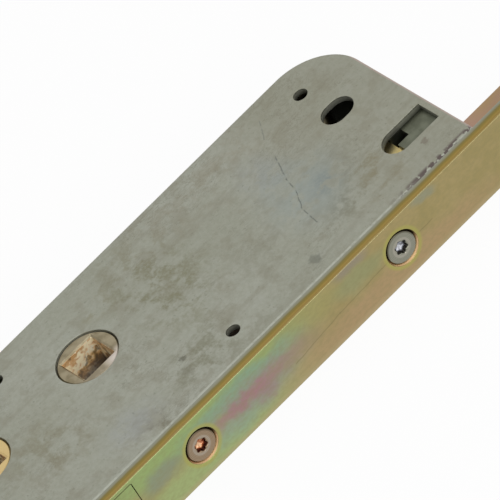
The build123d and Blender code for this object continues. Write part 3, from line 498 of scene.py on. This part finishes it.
# %% Zinc of the case
def make_case_zinc():
    made, shader, place = metal("case_zinc", 0.50, 0.06)
    x, y, z = coordinates(place)
    cloud = noise(place, 0.04, detail=3.0)
    colour = mix(band(cloud, 0.35, 0.65), (143, 145, 132), (151, 153, 142))
    colour = lay_tints(place, colour, case_layers)
    colour = lay_wisps(place, colour)
    colour = lay_tints(place, colour, case_blotches)
    colour = mix(band(z, 46.0, 62.0, 0.0, 0.24), colour, (124, 120, 100))

    smudge = noise(place, 0.26, detail=9.0, distortion=0.25, roughness=0.68)
    grit = band(noise(place, 1.7, detail=5.0), 0.3, 0.6, 0.45, 1.0)
    blot = times(band(smudge, 0.45, 0.58), grit)
    colour = lay_patches(place, colour, case_smudges, 0.6, blot)
    colour = lay_patches(wobbled(place, 0.9, 1.1), colour, case_spots, 0.4)
    colour = lay_patches(place, colour, case_bloom, 0.8, band(smudge, 0.42, 0.54, 0.4, 1.0))
    thread = wobbled(place, 0.5, 0.35)
    broken = band(noise(place, 0.7, detail=2.0), 0.42, 0.54, 0.15, 1.0)
    for line, strength in ((hair_line, 0.7), (faint_line, 0.4)):
        colour = lay_scratch(thread, colour, line, (1, 0, 1), (96, 100, 94), broken, strength)
    colour = chips_and_edge_highlights(place, colour, x, z)

    depth_in = calculate("ABSOLUTE", y)
    # Painted shade: the case is darker inside, between its plates
    colour = mix(band(depth_in, 5.15, 6.5, 0.9, 0.0), colour, (94, 96, 86))
    less_metal(shader, band(depth_in, 6.2, 6.5, 1.0, 0.0), 0.4)
    plate(shader, colour, noise(place, 2.5, detail=5.0), 0.4, 0.02)
    return made


def lay_wisps(place, colour):
    """Thin curling lines, where a stretched noise crosses its middle value, in some places only."""
    wisp = noise(place, 0.55, detail=6.0, stretch=(1.0, 1.0, 0.45), distortion=1.6, roughness=0.62)
    thin = times(band(wisp, 0.47, 0.495), band(wisp, 0.505, 0.53, 1.0, 0.0))
    places = band(noise(place, 0.09, detail=3.0), 0.48, 0.62, 0.0, 0.5)
    return mix(times(thin, places), colour, (118, 116, 102))


def chips_and_edge_highlights(place, colour, x, z):
    """Painted highlights on the front edge and the top rim, and the chips on the front edge's upper end."""
    fine = noise(place, 1.1, detail=6.0)
    # Painted highlight along the case's rounded front edge, broken up by noise
    front_edge_highlight = times(band(x, 31.2, 31.6), band(fine, 0.35, 0.6, 0.35, 0.9))
    colour = mix(front_edge_highlight, colour, (168, 170, 158))
    below_housing = band(z, 84.0, 85.0, 1.0, 0.0)
    upper_edge = times(band(x, 30.2, 31.2), band(z, 56.0, 68.0), below_housing)
    chipped = band(noise(place, 0.8, detail=4.0), 0.47, 0.52, 0.0, 0.95)
    colour = mix(times(upper_edge, chipped), colour, (90, 79, 76))
    # A pinkish painted highlight along the case's top rim
    top_edge_highlight = times(band(z, 80.5, 80.8), below_housing, 0.6)
    return mix(top_edge_highlight, colour, (176, 156, 150))


case_zinc = make_case_zinc()
print("material:", case_zinc.name, "nodes:", len(case_zinc.node_tree.nodes))

# %% [markdown]
# ### The faceplate: yellow passivation
#
# A thin chromate film shines in rainbow tints, and its colour follows the film's thickness. A
# thin-film shader could work the tints out, but it wouldn't put them where they are, so they are
# tints over a metal. Far from the case noise alone lays them along the strip. Beside the case the
# patches are placed: green near the edge, teal and a pink streak between the screws, tan above.

# %% Tints of the faceplate
film_patches = [((0, -5.5, -2), (None, 5.0, 30), 0.95, (146, 167, 109)),
                ((0, 4.8, -2), (None, 3.9, 28), 0.95, (157, 171, 117)),
                ((0, -3.6, 12), (None, 2.2, 15), 0.9, (134, 158, 133)),
                ((0, 2.9, 12), (None, 2.4, 11), 0.85, (141, 162, 137)),
                ((0, -1.6, -10.5), (None, 2.4, 5), 0.8, (135, 141, 122)),
                ((0, -2.8, 44), (None, 2.4, 7), 0.6, (142, 150, 112)),
                ((0, -6.2, 44), (None, 1.2, 4), 0.7, (142, 134, 124)),
                ((0, -5.9, 64), (None, 1.3, 3), 0.7, (140, 144, 126)),
                ((0, 4.6, 48), (None, 3.2, 28), 0.85, (169, 144, 108)),
                ((0, -4.0, 33), (None, 3.0, 6), 0.4, (162, 154, 100))]
pink_patches = [((0, -0.6, 15), (None, 2.8, 13), 0.75, (149, 134, 129)),
                ((0, -0.7, 12), (None, 1.3, 7), 0.75, (160, 119, 125)),
                ((0, 1.8, 16.5), (None, 1.9, 2.2), 0.6, (152, 124, 126)),
                ((0, -0.9, 22), (None, 1.0, 4), 0.45, (155, 128, 121))]
strip_line = [(0, 2.0, 24.0), (0, 0.7, 37.0), (0, 0.1, 49.0), (0, 0.1, 63.0)]
film_stops = [(0.30, (158, 147, 100)), (0.42, (152, 146, 98)), (0.50, (147, 156, 108)),
              (0.56, (140, 152, 128)), (0.61, (152, 132, 122)), (0.72, (157, 142, 98))]
# The strip's long side, from its back edge to its front
side_stops = [(0.0, (140, 142, 128)), (0.15, (132, 130, 108)), (0.30, (120, 110, 66)), (0.55, (129, 111, 54)),
              (0.76, (140, 119, 64)), (0.88, (130, 108, 58)), (1.0, (138, 122, 80))]
speckles = [(dict(per_mm=1.6, detail=5.0, stretch=(1.0, 1.0, 0.5)), (0.35, 0.7), 0.3, (136, 130, 92))]
print("tints on the faceplate:", len(film_patches) + len(pink_patches))

# %% Yellow zinc of the faceplate
def make_yellow_zinc():
    made, shader, place = metal("yellow_zinc", 0.40, 0.07)
    x, y, z = coordinates(place)
    drift = noise(place, 0.055, detail=4.0, stretch=(1.0, 2.2, 0.45), distortion=0.4)
    worn = band(noise(place, 0.3, detail=3.0), 0.35, 0.65)
    tan = mix(worn, (155, 141, 96), (162, 146, 102))
    beside_case = times(band(z, -45.0, -32.0), band(z, 84.0, 100.0, 1.0, 0.0))
    colour = mix(beside_case, ramp(drift, film_stops), tan)
    colour = lay_patches(wobbled(place, 0.18, 2.4), colour, film_patches, 0.55)
    colour = lay_patches(wobbled(place, 0.5, 1.8), colour, pink_patches, 0.7)
    colour = lay_tints(place, colour, speckles)
    thread = wobbled(place, 0.3, 0.25)
    colour = lay_scratch(thread, colour, strip_line, (0, 1, 1), (122, 112, 78), 0.45)
    # Lighter towards the far edge, and a painted highlight along the near edge's corner
    colour = mix(band(y, 5.2, 6.7, 0.0, 0.6), colour, (176, 160, 124))
    colour = mix(band(y, -6.6, -6.75, 0.0, 0.3), colour, (168, 166, 130))

    normal = add_node(place, "ShaderNodeTexCoord").outputs["Normal"]
    is_front = band(coordinates(normal)["X"], 0.45, 0.8)
    # X with a little noise, so that the tints of the side aren't ruled lines
    shaken = calculate("MULTIPLY_ADD", noise(place, 0.12, detail=3.0), 0.8, x)
    shaken = calculate("SUBTRACT", shaken, 0.4)
    side = ramp(band(shaken, 31.9, 35.2), side_stops)
    colour = seat_tint_shade_and_glint(y, z, mix(is_front, side, colour))
    plate(shader, colour, noise(place, 2.0, detail=4.0, stretch=(1.0, 1.0, 0.3)), 0.35, 0.015)
    return made


def seat_tint_shade_and_glint(y, z, colour):
    """Round each seat: a yellow rim, painted shade in it, and a pink painted highlight on its far wall."""
    flat = add_node(y, "ShaderNodeCombineXYZ")
    feed(flat.inputs[1], y)
    feed(flat.inputs[2], z)
    far_side = band(y, -1.5, 1.5)
    for height in screw_heights:
        gap = vector_math("DISTANCE", flat.outputs[0], (0, 0, height / mm))
        rim = times(band(gap, 3.8, 4.0), band(gap, 4.3, 5.0, 1.0, 0.0))
        colour = mix(times(rim, 0.7), colour, (164, 160, 88))
        # Painted shade on each seat's wall, and a pink painted highlight on its far side
        wall = band(gap, 3.84, 3.9, 1.0, 0.0)
        colour = mix(wall, colour, (84, 70, 44))
        colour = mix(times(wall, far_side, 0.9), colour, (222, 184, 138))
    return colour


yellow_zinc = make_yellow_zinc()
print("material:", yellow_zinc.name, "nodes:", len(yellow_zinc.node_tree.nodes))

# %% [markdown]
# ### The rails
#
# The rails behind the faceplate have the same passivation, but redder and without marks, because
# only their edges show. Noise drawn out along the rail is enough, with a mauve tint beside the case.

# %% Rail zinc
def make_rail_zinc():
    made, shader, place = metal("rail_zinc", 0.40, 0.08)
    cloud = noise(place, 0.09, detail=4.0, stretch=(1.0, 1.0, 0.4))
    film = ramp(cloud, [(0.25, (146, 116, 108)), (0.5, (152, 127, 94)), (0.75, (164, 146, 98))])
    beside_case = band(coordinates(place)["Z"], 80.0, 88.0, 0.6, 0.0)
    colour = mix(beside_case, film, (160, 126, 120))
    plate(shader, colour, noise(place, 2.0, detail=3.0, stretch=(1.0, 1.0, 0.2)), 0.3, 0.015)
    return made


rail_zinc = make_rail_zinc()
print("material:", rail_zinc.name, "nodes:", len(rail_zinc.node_tree.nodes))

# %% [markdown]
# ### The spindle hubs
#
# The hubs are cast zinc, silver-gold on the face, with a painted highlight beside the upper hub's
# square. Inside their squares the casting is lumpy and bronze, with painted highlights near the mouth
# and painted shade that deepens inwards. Real lumps would need a dense mesh, so noise is added to
# the depth, and the sum picks the colour.

# %% Cast zinc of the hubs
bore_half, bore_edge = 4.08, 4.14
# By depth, from the mouth inwards: painted highlights near the mouth, painted shade deeper in
bore_stops = [(0.0, (206, 164, 112)), (0.18, (250, 226, 184)), (0.30, (255, 250, 226)),
              (0.42, (240, 204, 144)), (0.54, (176, 140, 92)), (0.66, (136, 110, 76)),
              (0.82, (108, 90, 66)), (1.0, (84, 66, 52))]


def make_follower_zinc():
    made, shader, place = metal("follower_zinc", 0.34, 0.06)
    x, y, z = coordinates(place)
    cloud = noise(place, 0.5, detail=4.0)
    colour = mix(band(cloud, 0.35, 0.65), (122, 112, 88), (148, 138, 114))
    # Painted highlight on the face, right of and above the upper hub's square
    hub_highlight = times(band(x, 2.5, 5.5), band(z, 0.0, 3.0, 0.1, 0.8))
    colour = mix(hub_highlight, colour, (206, 196, 188))
    on_lower_hub = band(z, -20.0, -24.0, 0.0, 0.85)
    colour = mix(on_lower_hub, colour, (206, 180, 124))

    # Painted light over the bronze: highlights near the mouth, shade deeper in, bright glints where shallow
    lump = noise(place, 0.44, detail=3.0, distortion=0.3)
    depth = calculate("MULTIPLY_ADD", lump, 9.0, y)
    bronze = ramp(band(depth, -1.6, 7.0), bore_stops)
    fleck = noise(place, 0.62, detail=2.5, distortion=0.3)
    bronze = mix(band(fleck, 0.35, 0.45, 0.7, 0.0), bronze, (110, 90, 60))
    shallow = band(depth, 1.6, 3.6, 1.0, 0.15)
    bronze = mix(times(band(fleck, 0.52, 0.63), shallow), bronze, (255, 244, 210))

    bores = []
    for height in (0.0, lower_hub_height / mm):
        away = vector_math("ABSOLUTE", vector_math("SUBTRACT", place, (0, 0, height)))
        apart = coordinates(away)
        larger = calculate("MAXIMUM", apart["X"], apart["Z"])
        bores.append(band(larger, bore_half, bore_edge, 1.0, 0.0))
        colour = mix(bores[-1], colour, bronze)
    less_metal(shader, calculate("MAXIMUM", *bores), 0.1)
    plate(shader, colour, noise(place, 1.2, detail=5.0), 0.5, 0.05)
    return made


follower_zinc = make_follower_zinc()
print("material:", follower_zinc.name, "nodes:", len(follower_zinc.node_tree.nodes))

# %% [markdown]
# ### Screws, bolts and springs
#
# The screws are turned, so their grain runs in rings: the sine of the radius, broken up by noise.
# Their own object coordinates start at their axis, so one material fits every screw. The lower of
# the two in the picture is worn to a warmer grey. The bolts and hooks are satin nickel, and like
# the spring they only need a colour that wanders a little.

# %% Turned and plain metals
def make_turned_screw(name, ring_low, ring_high):
    """Turned steel round its object's X axis, lighter round the socket, with painted shadow on the near rim.
    """
    made, shader, place = metal(name, 0.36, 0.05)
    radius = vector_math("LENGTH", vector_math("MULTIPLY", place, (0.0, 1.0, 1.0)))
    rings = calculate("SINE", times(radius, 22.0))
    grain = times(rings, noise(place, 1.5, detail=4.0))
    colour = mix(band(grain, -0.5, 0.5), ring_low, ring_high)
    dish = times(band(radius, 1.5, 1.7), band(radius, 2.0, 2.3, 1.0, 0.0), 0.4)
    colour = mix(dish, colour, (178, 172, 160))
    # Painted shadow on the near side of the head's rim, where the seat's edge shades it
    near = band(coordinates(place)["Y"], 0.8, -1.2)
    colour = mix(times(band(radius, 2.9, 3.4), near, 0.8), colour, (70, 64, 48))
    plate(shader, colour, grain, 0.3, 0.01)
    return made


def make_socket(name, wall, floor_low, floor_high):
    """The six-lobed recess: painted shade on the walls and a painted highlight on the floor."""
    made, shader, place = metal(name, 0.4, 0.08)
    cloud = noise(place, 0.8, detail=3.0)
    bottom = mix(band(cloud, 0.4, 0.6), floor_low, floor_high)
    colour = mix(band(coordinates(place)["X"], -1.02, -0.8), bottom, wall)
    plate(shader, colour, noise(place, 3.0, detail=4.0), 0.3, 0.02)
    return made


def make_plain_metal(name, low, high, roughness):
    """A metal that wanders between two colours."""
    made, shader, place = metal(name, roughness)
    colour = mix(band(noise(place, 0.4, detail=4.0), 0.35, 0.65), low, high)
    plate(shader, colour, noise(place, 3.5, detail=4.0), 0.2, 0.015)
    return made


screw_steel = make_turned_screw("screw_steel", (126, 126, 112), (144, 144, 130))
worn_screw = make_turned_screw("worn_screw", (132, 113, 92), (156, 137, 113))
# The sockets' walls carry painted shade and their floors a painted highlight
socket_steel = make_socket("socket_steel", (80, 78, 72), (150, 152, 158), (206, 208, 214))
warm_socket_painted_light = make_socket("warm_socket_painted_light", (92, 54, 44), (190, 124, 90), (240, 196, 156))
bolt_steel = make_plain_metal("bolt_steel", (164, 162, 156), (180, 178, 172), 0.38)
spring_steel = make_plain_metal("spring_steel", (124, 124, 124), (146, 146, 146), 0.30)
# Painted light: the stop strip's gold is lighter to make up for the shadow it lies in
stop_gold = make_plain_metal("stop_gold", (214, 194, 130), (232, 216, 162), 0.42)
block_zinc = make_plain_metal("block_zinc", (92, 95, 81), (108, 111, 96), 0.45)
print("materials:", [m.name for m in (screw_steel, socket_steel, bolt_steel, spring_steel)])

# %% [markdown]
# ### Every solid gets its finish
#
# The record names a finish for each CAD node, so the materials are handed out by that name. The
# gold strip and the grey block behind the slot are small and in shadow. The strip's gold is made
# lighter, as painted light against that shadow, and the block gets a tone of its own.

# %% Hand out the finishes
finishes = dict(case_zinc=case_zinc, yellow_zinc=yellow_zinc, rail_zinc=rail_zinc,
                follower_zinc=follower_zinc, screw_steel=screw_steel, bolt_steel=bolt_steel,
                spring_steel=spring_steel)
for entry in frame["record"]["subparts"]:
    mesh = nodes[entry["node"]].data
    mesh.materials.clear()
    mesh.materials.append(finishes[entry["material_slot"]])
nodes["stop_plate"].data.materials[0] = stop_gold
nodes["top_block"].data.materials[0] = block_zinc

# %% [markdown]
# ## Plates with rolled edges
#
# A stamped plate is one flat outline with holes. It could be cut from a slab with booleans, but
# Blender's 2-D curves fill such an outline, give it thickness and round its edges in one go, so
# each plate below is a list of loops.

# %% Outline helpers
def turns(steps):
    """Angles that divide a full turn."""
    return [2 * pi * n / steps for n in range(steps)]


def circle(x, z, radius, steps=64):
    return [(x + radius * cos(turn), z + radius * sin(turn)) for turn in turns(steps)]


def arc(x, z, radius, start, end, steps=16):
    """Points on an arc, from one angle to another in degrees."""
    angles = [radians(start + (end - start) * n / steps) for n in range(steps + 1)]
    return [(x + radius * cos(a), z + radius * sin(a)) for a in angles]


def upright(x, low, high, width):
    """A slot with round ends that stands along the second axis."""
    radius = width / 2
    return arc(x, high - radius, radius, 0, 180) + arc(x, low + radius, radius, 180, 360)


def rounded(left, right, bottom, top, radius):
    """A rectangle with four round corners."""
    corners = [(right - radius, top - radius), (left + radius, top - radius),
               (left + radius, bottom + radius), (right - radius, bottom + radius)]
    return [point for n, (x, z) in enumerate(corners) for point in arc(x, z, radius, 90 * n, 90 * (n + 1))]


print("a slot's outline has", len(upright(0, 0, 3, 1)), "points")

# %% [markdown]
# ### From an outline to a piece
#
# A curve turns into a mesh through an object that is thrown away again. Every mesh then becomes a
# piece in the same way: an object with its material, smooth except across its sharp edges.

# %% Piece helpers
# Columns are the plate's own axes: a near plate faces -Y, a front plate faces +X
near_plate = Matrix(((1, 0, 0, 0), (0, 0, -1, 0), (0, 1, 0, 0), (0, 0, 0, 1)))
front_plate = Matrix(((0, 0, 1, 0), (1, 0, 0, 0), (0, 1, 0, 0), (0, 0, 0, 1)))
piece_angle = 35.0


def curve_to_mesh(curve):
    holder = bpy.data.objects.new(curve.name, curve)
    mesh = bpy.data.meshes.new_from_object(holder)
    bpy.data.objects.remove(holder)
    return mesh


def smooth(mesh, angle):
    """Shades a mesh smooth, except across edges sharper than an angle in degrees."""
    mesh.shade_smooth()
    mesh.set_sharp_from_angle(angle=radians(angle))


def make_piece(name, mesh, *materials):
    """An object with this mesh in these materials."""
    for material in materials:
        mesh.materials.append(material)
    smooth(mesh, piece_angle)
    piece = bpy.data.objects.new(name, mesh)
    scene.collection.objects.link(piece)
    return piece


def plate_mesh(name, loops, thickness, axes, start, edge):
    """A plate from loops in its own plane, with this thickness from start along its third axis."""
    curve = bpy.data.curves.new(name, "CURVE")
    curve.dimensions = "2D"
    curve.fill_mode = "BOTH"
    for loop in loops:
        spline = curve.splines.new("POLY")
        spline.points.add(len(loop) - 1)
        for point, (u, v) in zip(spline.points, loop):
            point.co = (u, v, 0.0, 1.0)
        spline.use_cyclic_u = True
    curve.extrude = thickness / 2 - edge
    curve.bevel_depth = edge
    curve.bevel_resolution = 2
    curve.offset = -edge
    mesh = curve_to_mesh(curve)
    place = axes.copy()
    place.translation = start
    mesh.transform(place @ Matrix.Translation((0, 0, thickness / 2)))
    return mesh


print("piece helpers ready")

# %% [markdown]
# ### The case cover
#
# The near plate: two hub holes, the key cylinder's opening, an oblong hole, five small round
# holes and the square-topped slot. Its back corners are round, and its edges are rolled a little,
# so that they catch a line of light as pressed steel does.

# %% Sizes of the case cover
case_corner = 12.5 * mm
cover_edge = 0.12 * mm
hub_hole_radius = 6.86 * mm
small_hole_radius = 1.55 * mm
small_holes = [(-11.1, 68.7), (-14.0, -14.0), (-12.5, -121.5), (16.0, -121.5), (24.9, 20.1)]
oblong_hole = dict(low=66.1 * mm, high=73.5 * mm, width=6.1 * mm)
top_slot = dict(left=15.5 * mm, right=22.5 * mm, bottom=67.4 * mm, top=79.4 * mm)
cylinder = dict(z=-92.0 * mm, head=8.7 * mm, stem=10.6 * mm, drop=24.8 * mm)
print("cover in mm:", [round(v / mm, 2) for v in cover_high - cover_low])

# %% Case cover
def cover_loops():
    left, right, bottom, top = cover_low.x, cover_high.x, cover_low.z, cover_high.z
    outline = [(right, bottom), (right, top)]
    outline += arc(left + case_corner, top - case_corner, case_corner, 90, 180, 32)
    outline += arc(left + case_corner, bottom + case_corner, case_corner, 180, 270, 32)
    loops = [outline, circle(0, 0, hub_hole_radius, 96), circle(0, lower_hub_height, hub_hole_radius, 96)]
    loops += [circle(x * mm, z * mm, small_hole_radius, 40) for x, z in small_holes]
    loops.append(upright(0, oblong_hole["low"], oblong_hole["high"], oblong_hole["width"]))
    radius = (top_slot["right"] - top_slot["left"]) / 2
    loops.append([(top_slot["right"], top_slot["top"]), (top_slot["left"], top_slot["top"])]
                 + arc(top_slot["left"] + radius, top_slot["bottom"] + radius, radius, 180, 360, 32))
    half_stem = cylinder["stem"] / 2
    shoulder = degrees(asin(half_stem / cylinder["head"]))
    foot = cylinder["z"] - cylinder["drop"] + half_stem
    loops.append(arc(0, cylinder["z"], cylinder["head"], shoulder - 90, 270 - shoulder, 48)
                 + arc(0, foot, half_stem, 180, 360, 24))
    return loops


cover_mesh = plate_mesh("case_cover_plate", cover_loops(), cover_high.y - cover_low.y, near_plate,
                        (0, cover_high.y, 0), cover_edge)
case_cover = make_piece("case_cover_plate", cover_mesh, case_zinc)
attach(case_cover, "lock_case")
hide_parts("case_cover")
print("cover faces:", len(case_cover.data.polygons))

# %% [markdown]
# ### The faceplate
#
# One strip with the screws' round seats, the countersinks, the latch insert's window and the
# slots. An outline is the same at every depth, and a screw's seat isn't, so the strip is cut with
# the wide holes and a lathed ring fills each one down to its smaller hole.

# %% Sizes of the faceplate
front_face = plate_high.x
strip_corner = 3.0 * mm
strip_edge = 0.15 * mm
door_screw_heights = [h * mm for h in (352.0, -410.0, 120.0, 208.0, -165.0, -258.0)]
roller_heights = [165.0 * mm, -212.0 * mm]
head_radius = 3.45 * mm
head_thickness = 2.2 * mm
head_recess = 0.2 * mm
shank_radius = 2.0 * mm
seat = dict(radius=3.85 * mm, foot=3.55 * mm, lip=0.1 * mm, slope=0.5 * mm,
            depth=head_thickness + head_recess)
sink_lip = 0.02 * mm
door_sink = dict(radius=2.25 * mm, sink=4.3 * mm, depth=2.36 * mm)
cylinder_sink = dict(radius=2.75 * mm, sink=4.4 * mm, depth=1.9 * mm)
cylinder_screw_height = -112.0 * mm
insert_window = dict(low=-47.43 * mm, high=-16.95 * mm, gap=0.03 * mm, corner=0.3 * mm)
bolt_window = dict(gap=0.2 * mm, corner=0.5 * mm)
hook_slot = dict(below=40.0 * mm, above=7.5 * mm, width=6.2 * mm)
roller_slot = dict(below=2.75 * mm, above=18.75 * mm, width=5.5 * mm)
print("holes for screws:", len(screw_heights) + len(door_screw_heights) + 1)

# %% Lathe and join
def lathe(profile, height=0.0, steps=64):
    """Turns a profile of (radius, x) points about a line along X, at a height."""
    form = bmesh.new()
    rings = [[form.verts.new((x, r * cos(turn), height + r * sin(turn))) for r, x in profile]
             for turn in turns(steps)]
    for here, there in zip(rings, rings[1:] + rings[:1]):
        for k in range(len(profile)):
            after = (k + 1) % len(profile)
            form.faces.new((here[k], here[after], there[after], there[k]))
    bmesh.ops.recalc_face_normals(form, faces=form.faces)
    return form_to_mesh("lathed", form)


def form_to_mesh(name, form):
    mesh = bpy.data.meshes.new(name)
    form.to_mesh(mesh)
    form.free()
    return mesh


def join_meshes(name, *groups):
    """One mesh from lists of meshes. The faces of a list take its number as their material's."""
    form = bmesh.new()
    for number, meshes in enumerate(groups):
        count = len(form.faces)
        for mesh in meshes:
            form.from_mesh(mesh)
        form.faces.ensure_lookup_table()
        for face in form.faces[count:]:
            face.material_index = number
    return form_to_mesh(name, form)


print("lathe ready")

# %% Faceplate
def faceplate_loops():
    half = plate_high.y
    loops = [rounded(-half, half, plate_low.z, plate_high.z, strip_corner)]
    loops += [circle(0, z, seat["radius"]) for z in screw_heights]
    loops += [circle(0, z, door_sink["sink"]) for z in door_screw_heights]
    loops.append(circle(0, cylinder_screw_height, cylinder_sink["sink"]))
    gap = insert_window["gap"]
    loops.append(rounded(insert_low.y - gap, insert_high.y + gap, insert_window["low"], insert_window["high"],
                         insert_window["corner"]))
    gap = bolt_window["gap"]
    loops.append(rounded(bolt_low.y - gap, bolt_high.y + gap, bolt_low.z - gap, bolt_high.z + gap,
                         bolt_window["corner"]))
    for heights, slot in ((hook_heights, hook_slot), (roller_heights, roller_slot)):
        loops += [upright(0, z - slot["below"], z + slot["above"], slot["width"]) for z in heights]
    return loops


def seat_profile():
    """From the front: a slightly conical wall, the seat's floor and the shank's hole."""
    floor_x = front_face - seat["depth"]
    return [(seat["radius"], front_face - seat["lip"]), (seat["foot"], front_face - seat["slope"]),
            (seat["foot"], floor_x), (shank_radius, floor_x),
            (shank_radius, plate_low.x), (seat["radius"], plate_low.x)]


def sink_profile(hole):
    """A countersink and the hole below it."""
    return [(hole["sink"], front_face - sink_lip), (hole["radius"], front_face - hole["depth"]),
            (hole["radius"], plate_low.x), (hole["sink"], plate_low.x)]


strip = plate_mesh("strip", faceplate_loops(), plate_high.x - plate_low.x, front_plate,
                   (plate_low.x, 0, 0), strip_edge)
inlays = [lathe(seat_profile(), z) for z in screw_heights]
inlays += [lathe(sink_profile(door_sink), z) for z in door_screw_heights]
inlays.append(lathe(sink_profile(cylinder_sink), cylinder_screw_height))
faceplate = make_piece("faceplate_strip", join_meshes("faceplate_strip", [strip] + inlays), yellow_zinc)
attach(faceplate, "lock_case")
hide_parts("faceplate")
print("faceplate faces:", len(faceplate.data.polygons))

# %% [markdown]
# ## Screws
#
# Each screw is an object of its own, with its origin on its axis at the front of its head, so that
# its material can count rings from there. The head is a disc with a softened rim. Its six-lobed
# socket is a wave round a circle, which is simpler than six arcs and looks the same at this size.

# %% Six-lobed sockets
lobe_outer = 1.55 * mm
lobe_inner = 1.2 * mm
lobe_depth = 1.1 * mm
socket_taper = 0.72
pit_depth = 0.42 * mm


def lobes(steps=96):
    """A six-lobed loop that swings between two radii."""
    middle, swing = (lobe_outer + lobe_inner) / 2, (lobe_outer - lobe_inner) / 2
    radii = [middle + swing * cos(6 * turn) for turn in turns(steps)]
    return [(r * cos(turn), r * sin(turn)) for r, turn in zip(radii, turns(steps))]


def socket_mesh(loop, lip):
    """The socket's wall, from just under the head's face to its floor, and the floor."""
    form = bmesh.new()
    upper = [form.verts.new((-lip, u, v)) for u, v in loop]
    lower = [form.verts.new((-lobe_depth, u * socket_taper, v * socket_taper)) for u, v in loop]
    count = len(loop)
    for n in range(count):
        after = (n + 1) % count
        form.faces.new((upper[n], lower[n], lower[after], upper[after]))
    pit = form.verts.new((-lobe_depth - pit_depth, 0, 0))
    for n in range(count):
        form.faces.new((lower[n], pit, lower[(n + 1) % count]))
    return form_to_mesh("socket", form)


print("socket points:", len(lobes()))

# %% Screws
screw_reach = 9.5 * mm
head_rim = 0.22 * mm
disc_depth = head_thickness - 0.1 * mm
collar = dict(radius=head_radius - 0.3 * mm, thickness=0.2 * mm)
thread_radius = shank_radius - 0.05 * mm
tip = 0.0001 * mm


def make_screw(name, z, node, head_paint, socket_paint):
    disc = plate_mesh("disc", [circle(0, 0, head_radius), lobes()], disc_depth, front_plate,
                      (-disc_depth, 0, 0), head_rim)
    back = -head_thickness
    upper, end = back + collar["thickness"], back - screw_reach
    below = lathe([(tip, upper), (collar["radius"], upper), (collar["radius"], back), (thread_radius, back),
                   (thread_radius, end), (tip, end)], steps=32)
    mesh = join_meshes(name, [disc, below], [socket_mesh(lobes(), head_rim)])
    screw = make_piece(name, mesh, head_paint, socket_paint)
    screw.location = (front_face - head_recess, 0, z)
    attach(screw, "lock_case")
    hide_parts(node)


worn_height = case_screw_heights[1]
for number, z in enumerate(case_screw_heights, 1):
    paints = (worn_screw, warm_socket_painted_light) if z == worn_height else (screw_steel, socket_steel)
    make_screw("case_screw_%d" % number, z, "case_screws", *paints)
for number, z in enumerate(housing_screw_heights, 1):
    make_screw("housing_screw_%d" % number, z, "housing_screws", screw_steel, socket_steel)
print("screws:", len(screw_heights))

# %% [markdown]
# ## The latch spring
#
# The coil behind the cover pushes the latch out. It is round wire on a helix, which a curve with a
# round bevel gives at once. It has to shorten when the latch goes in, so it gets a mesh of its own,
# but nothing here flattens it.

# %% Latch spring
spring_low, spring_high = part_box("latch_spring")
spring_wire = 0.35 * mm
spring_turns = 7
steps_per_turn = 24


def make_latch_spring():
    radius = (spring_high.z - spring_low.z) / 2 - spring_wire
    middle = (spring_low + spring_high) / 2
    start, end = spring_low.x + spring_wire, spring_high.x - spring_wire
    steps = spring_turns * steps_per_turn
    curve = bpy.data.curves.new("coil", "CURVE")
    curve.dimensions = "3D"
    curve.bevel_depth = spring_wire
    curve.bevel_resolution = 2
    curve.use_fill_caps = True
    line = curve.splines.new("POLY")
    line.points.add(steps)
    for n, point in enumerate(line.points):
        turn = 2 * pi * spring_turns * n / steps
        point.co = (start + (end - start) * n / steps,
                    middle.y + radius * cos(turn), middle.z + radius * sin(turn), 1.0)
    return make_piece("latch_spring_coil", curve_to_mesh(curve), spring_steel)


latch_spring = make_latch_spring()
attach(latch_spring, "lock_case")
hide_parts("latch_spring")
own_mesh(latch_spring)

# %% [markdown]
# ## Soft edges on the CAD solids
#
# Real pressings and castings have no knife edges. A narrow bevel catches the light along them, and
# as a modifier it leaves the solid's own mesh as it is.

# %% Bevels
pressed_edge = 0.12 * mm
turned_edge = 0.08 * mm
soft_angle = 40.0


def soften(node, width):
    """Rounds a node's sharp edges a little, without changing its mesh."""
    piece = nodes[node]
    bevel = piece.modifiers.new("soft_edge", "BEVEL")
    bevel.width = width
    bevel.segments = 2
    bevel.limit_method = "ANGLE"
    bevel.angle_limit = radians(soft_angle)
    bevel.use_clamp_overlap = True
    smooth(piece.data, soft_angle)


pressed = ["case_body", "latch_insert", "latch_bolt", "deadbolt", "top_block", "stop_plate", "drive_slide"]
for end in ("upper_", "lower_"):
    pressed += [end + kind for kind in ("rail", "hook", "hook_housing", "hook_cover")]
turned = ["upper_follower", "lower_follower", "upper_roller", "lower_roller", "roller_pins", "rail_guides"]
for name in pressed:
    soften(name, pressed_edge)
for name in turned:
    soften(name, turned_edge)
print("softened", len(pressed) + len(turned), "solids")
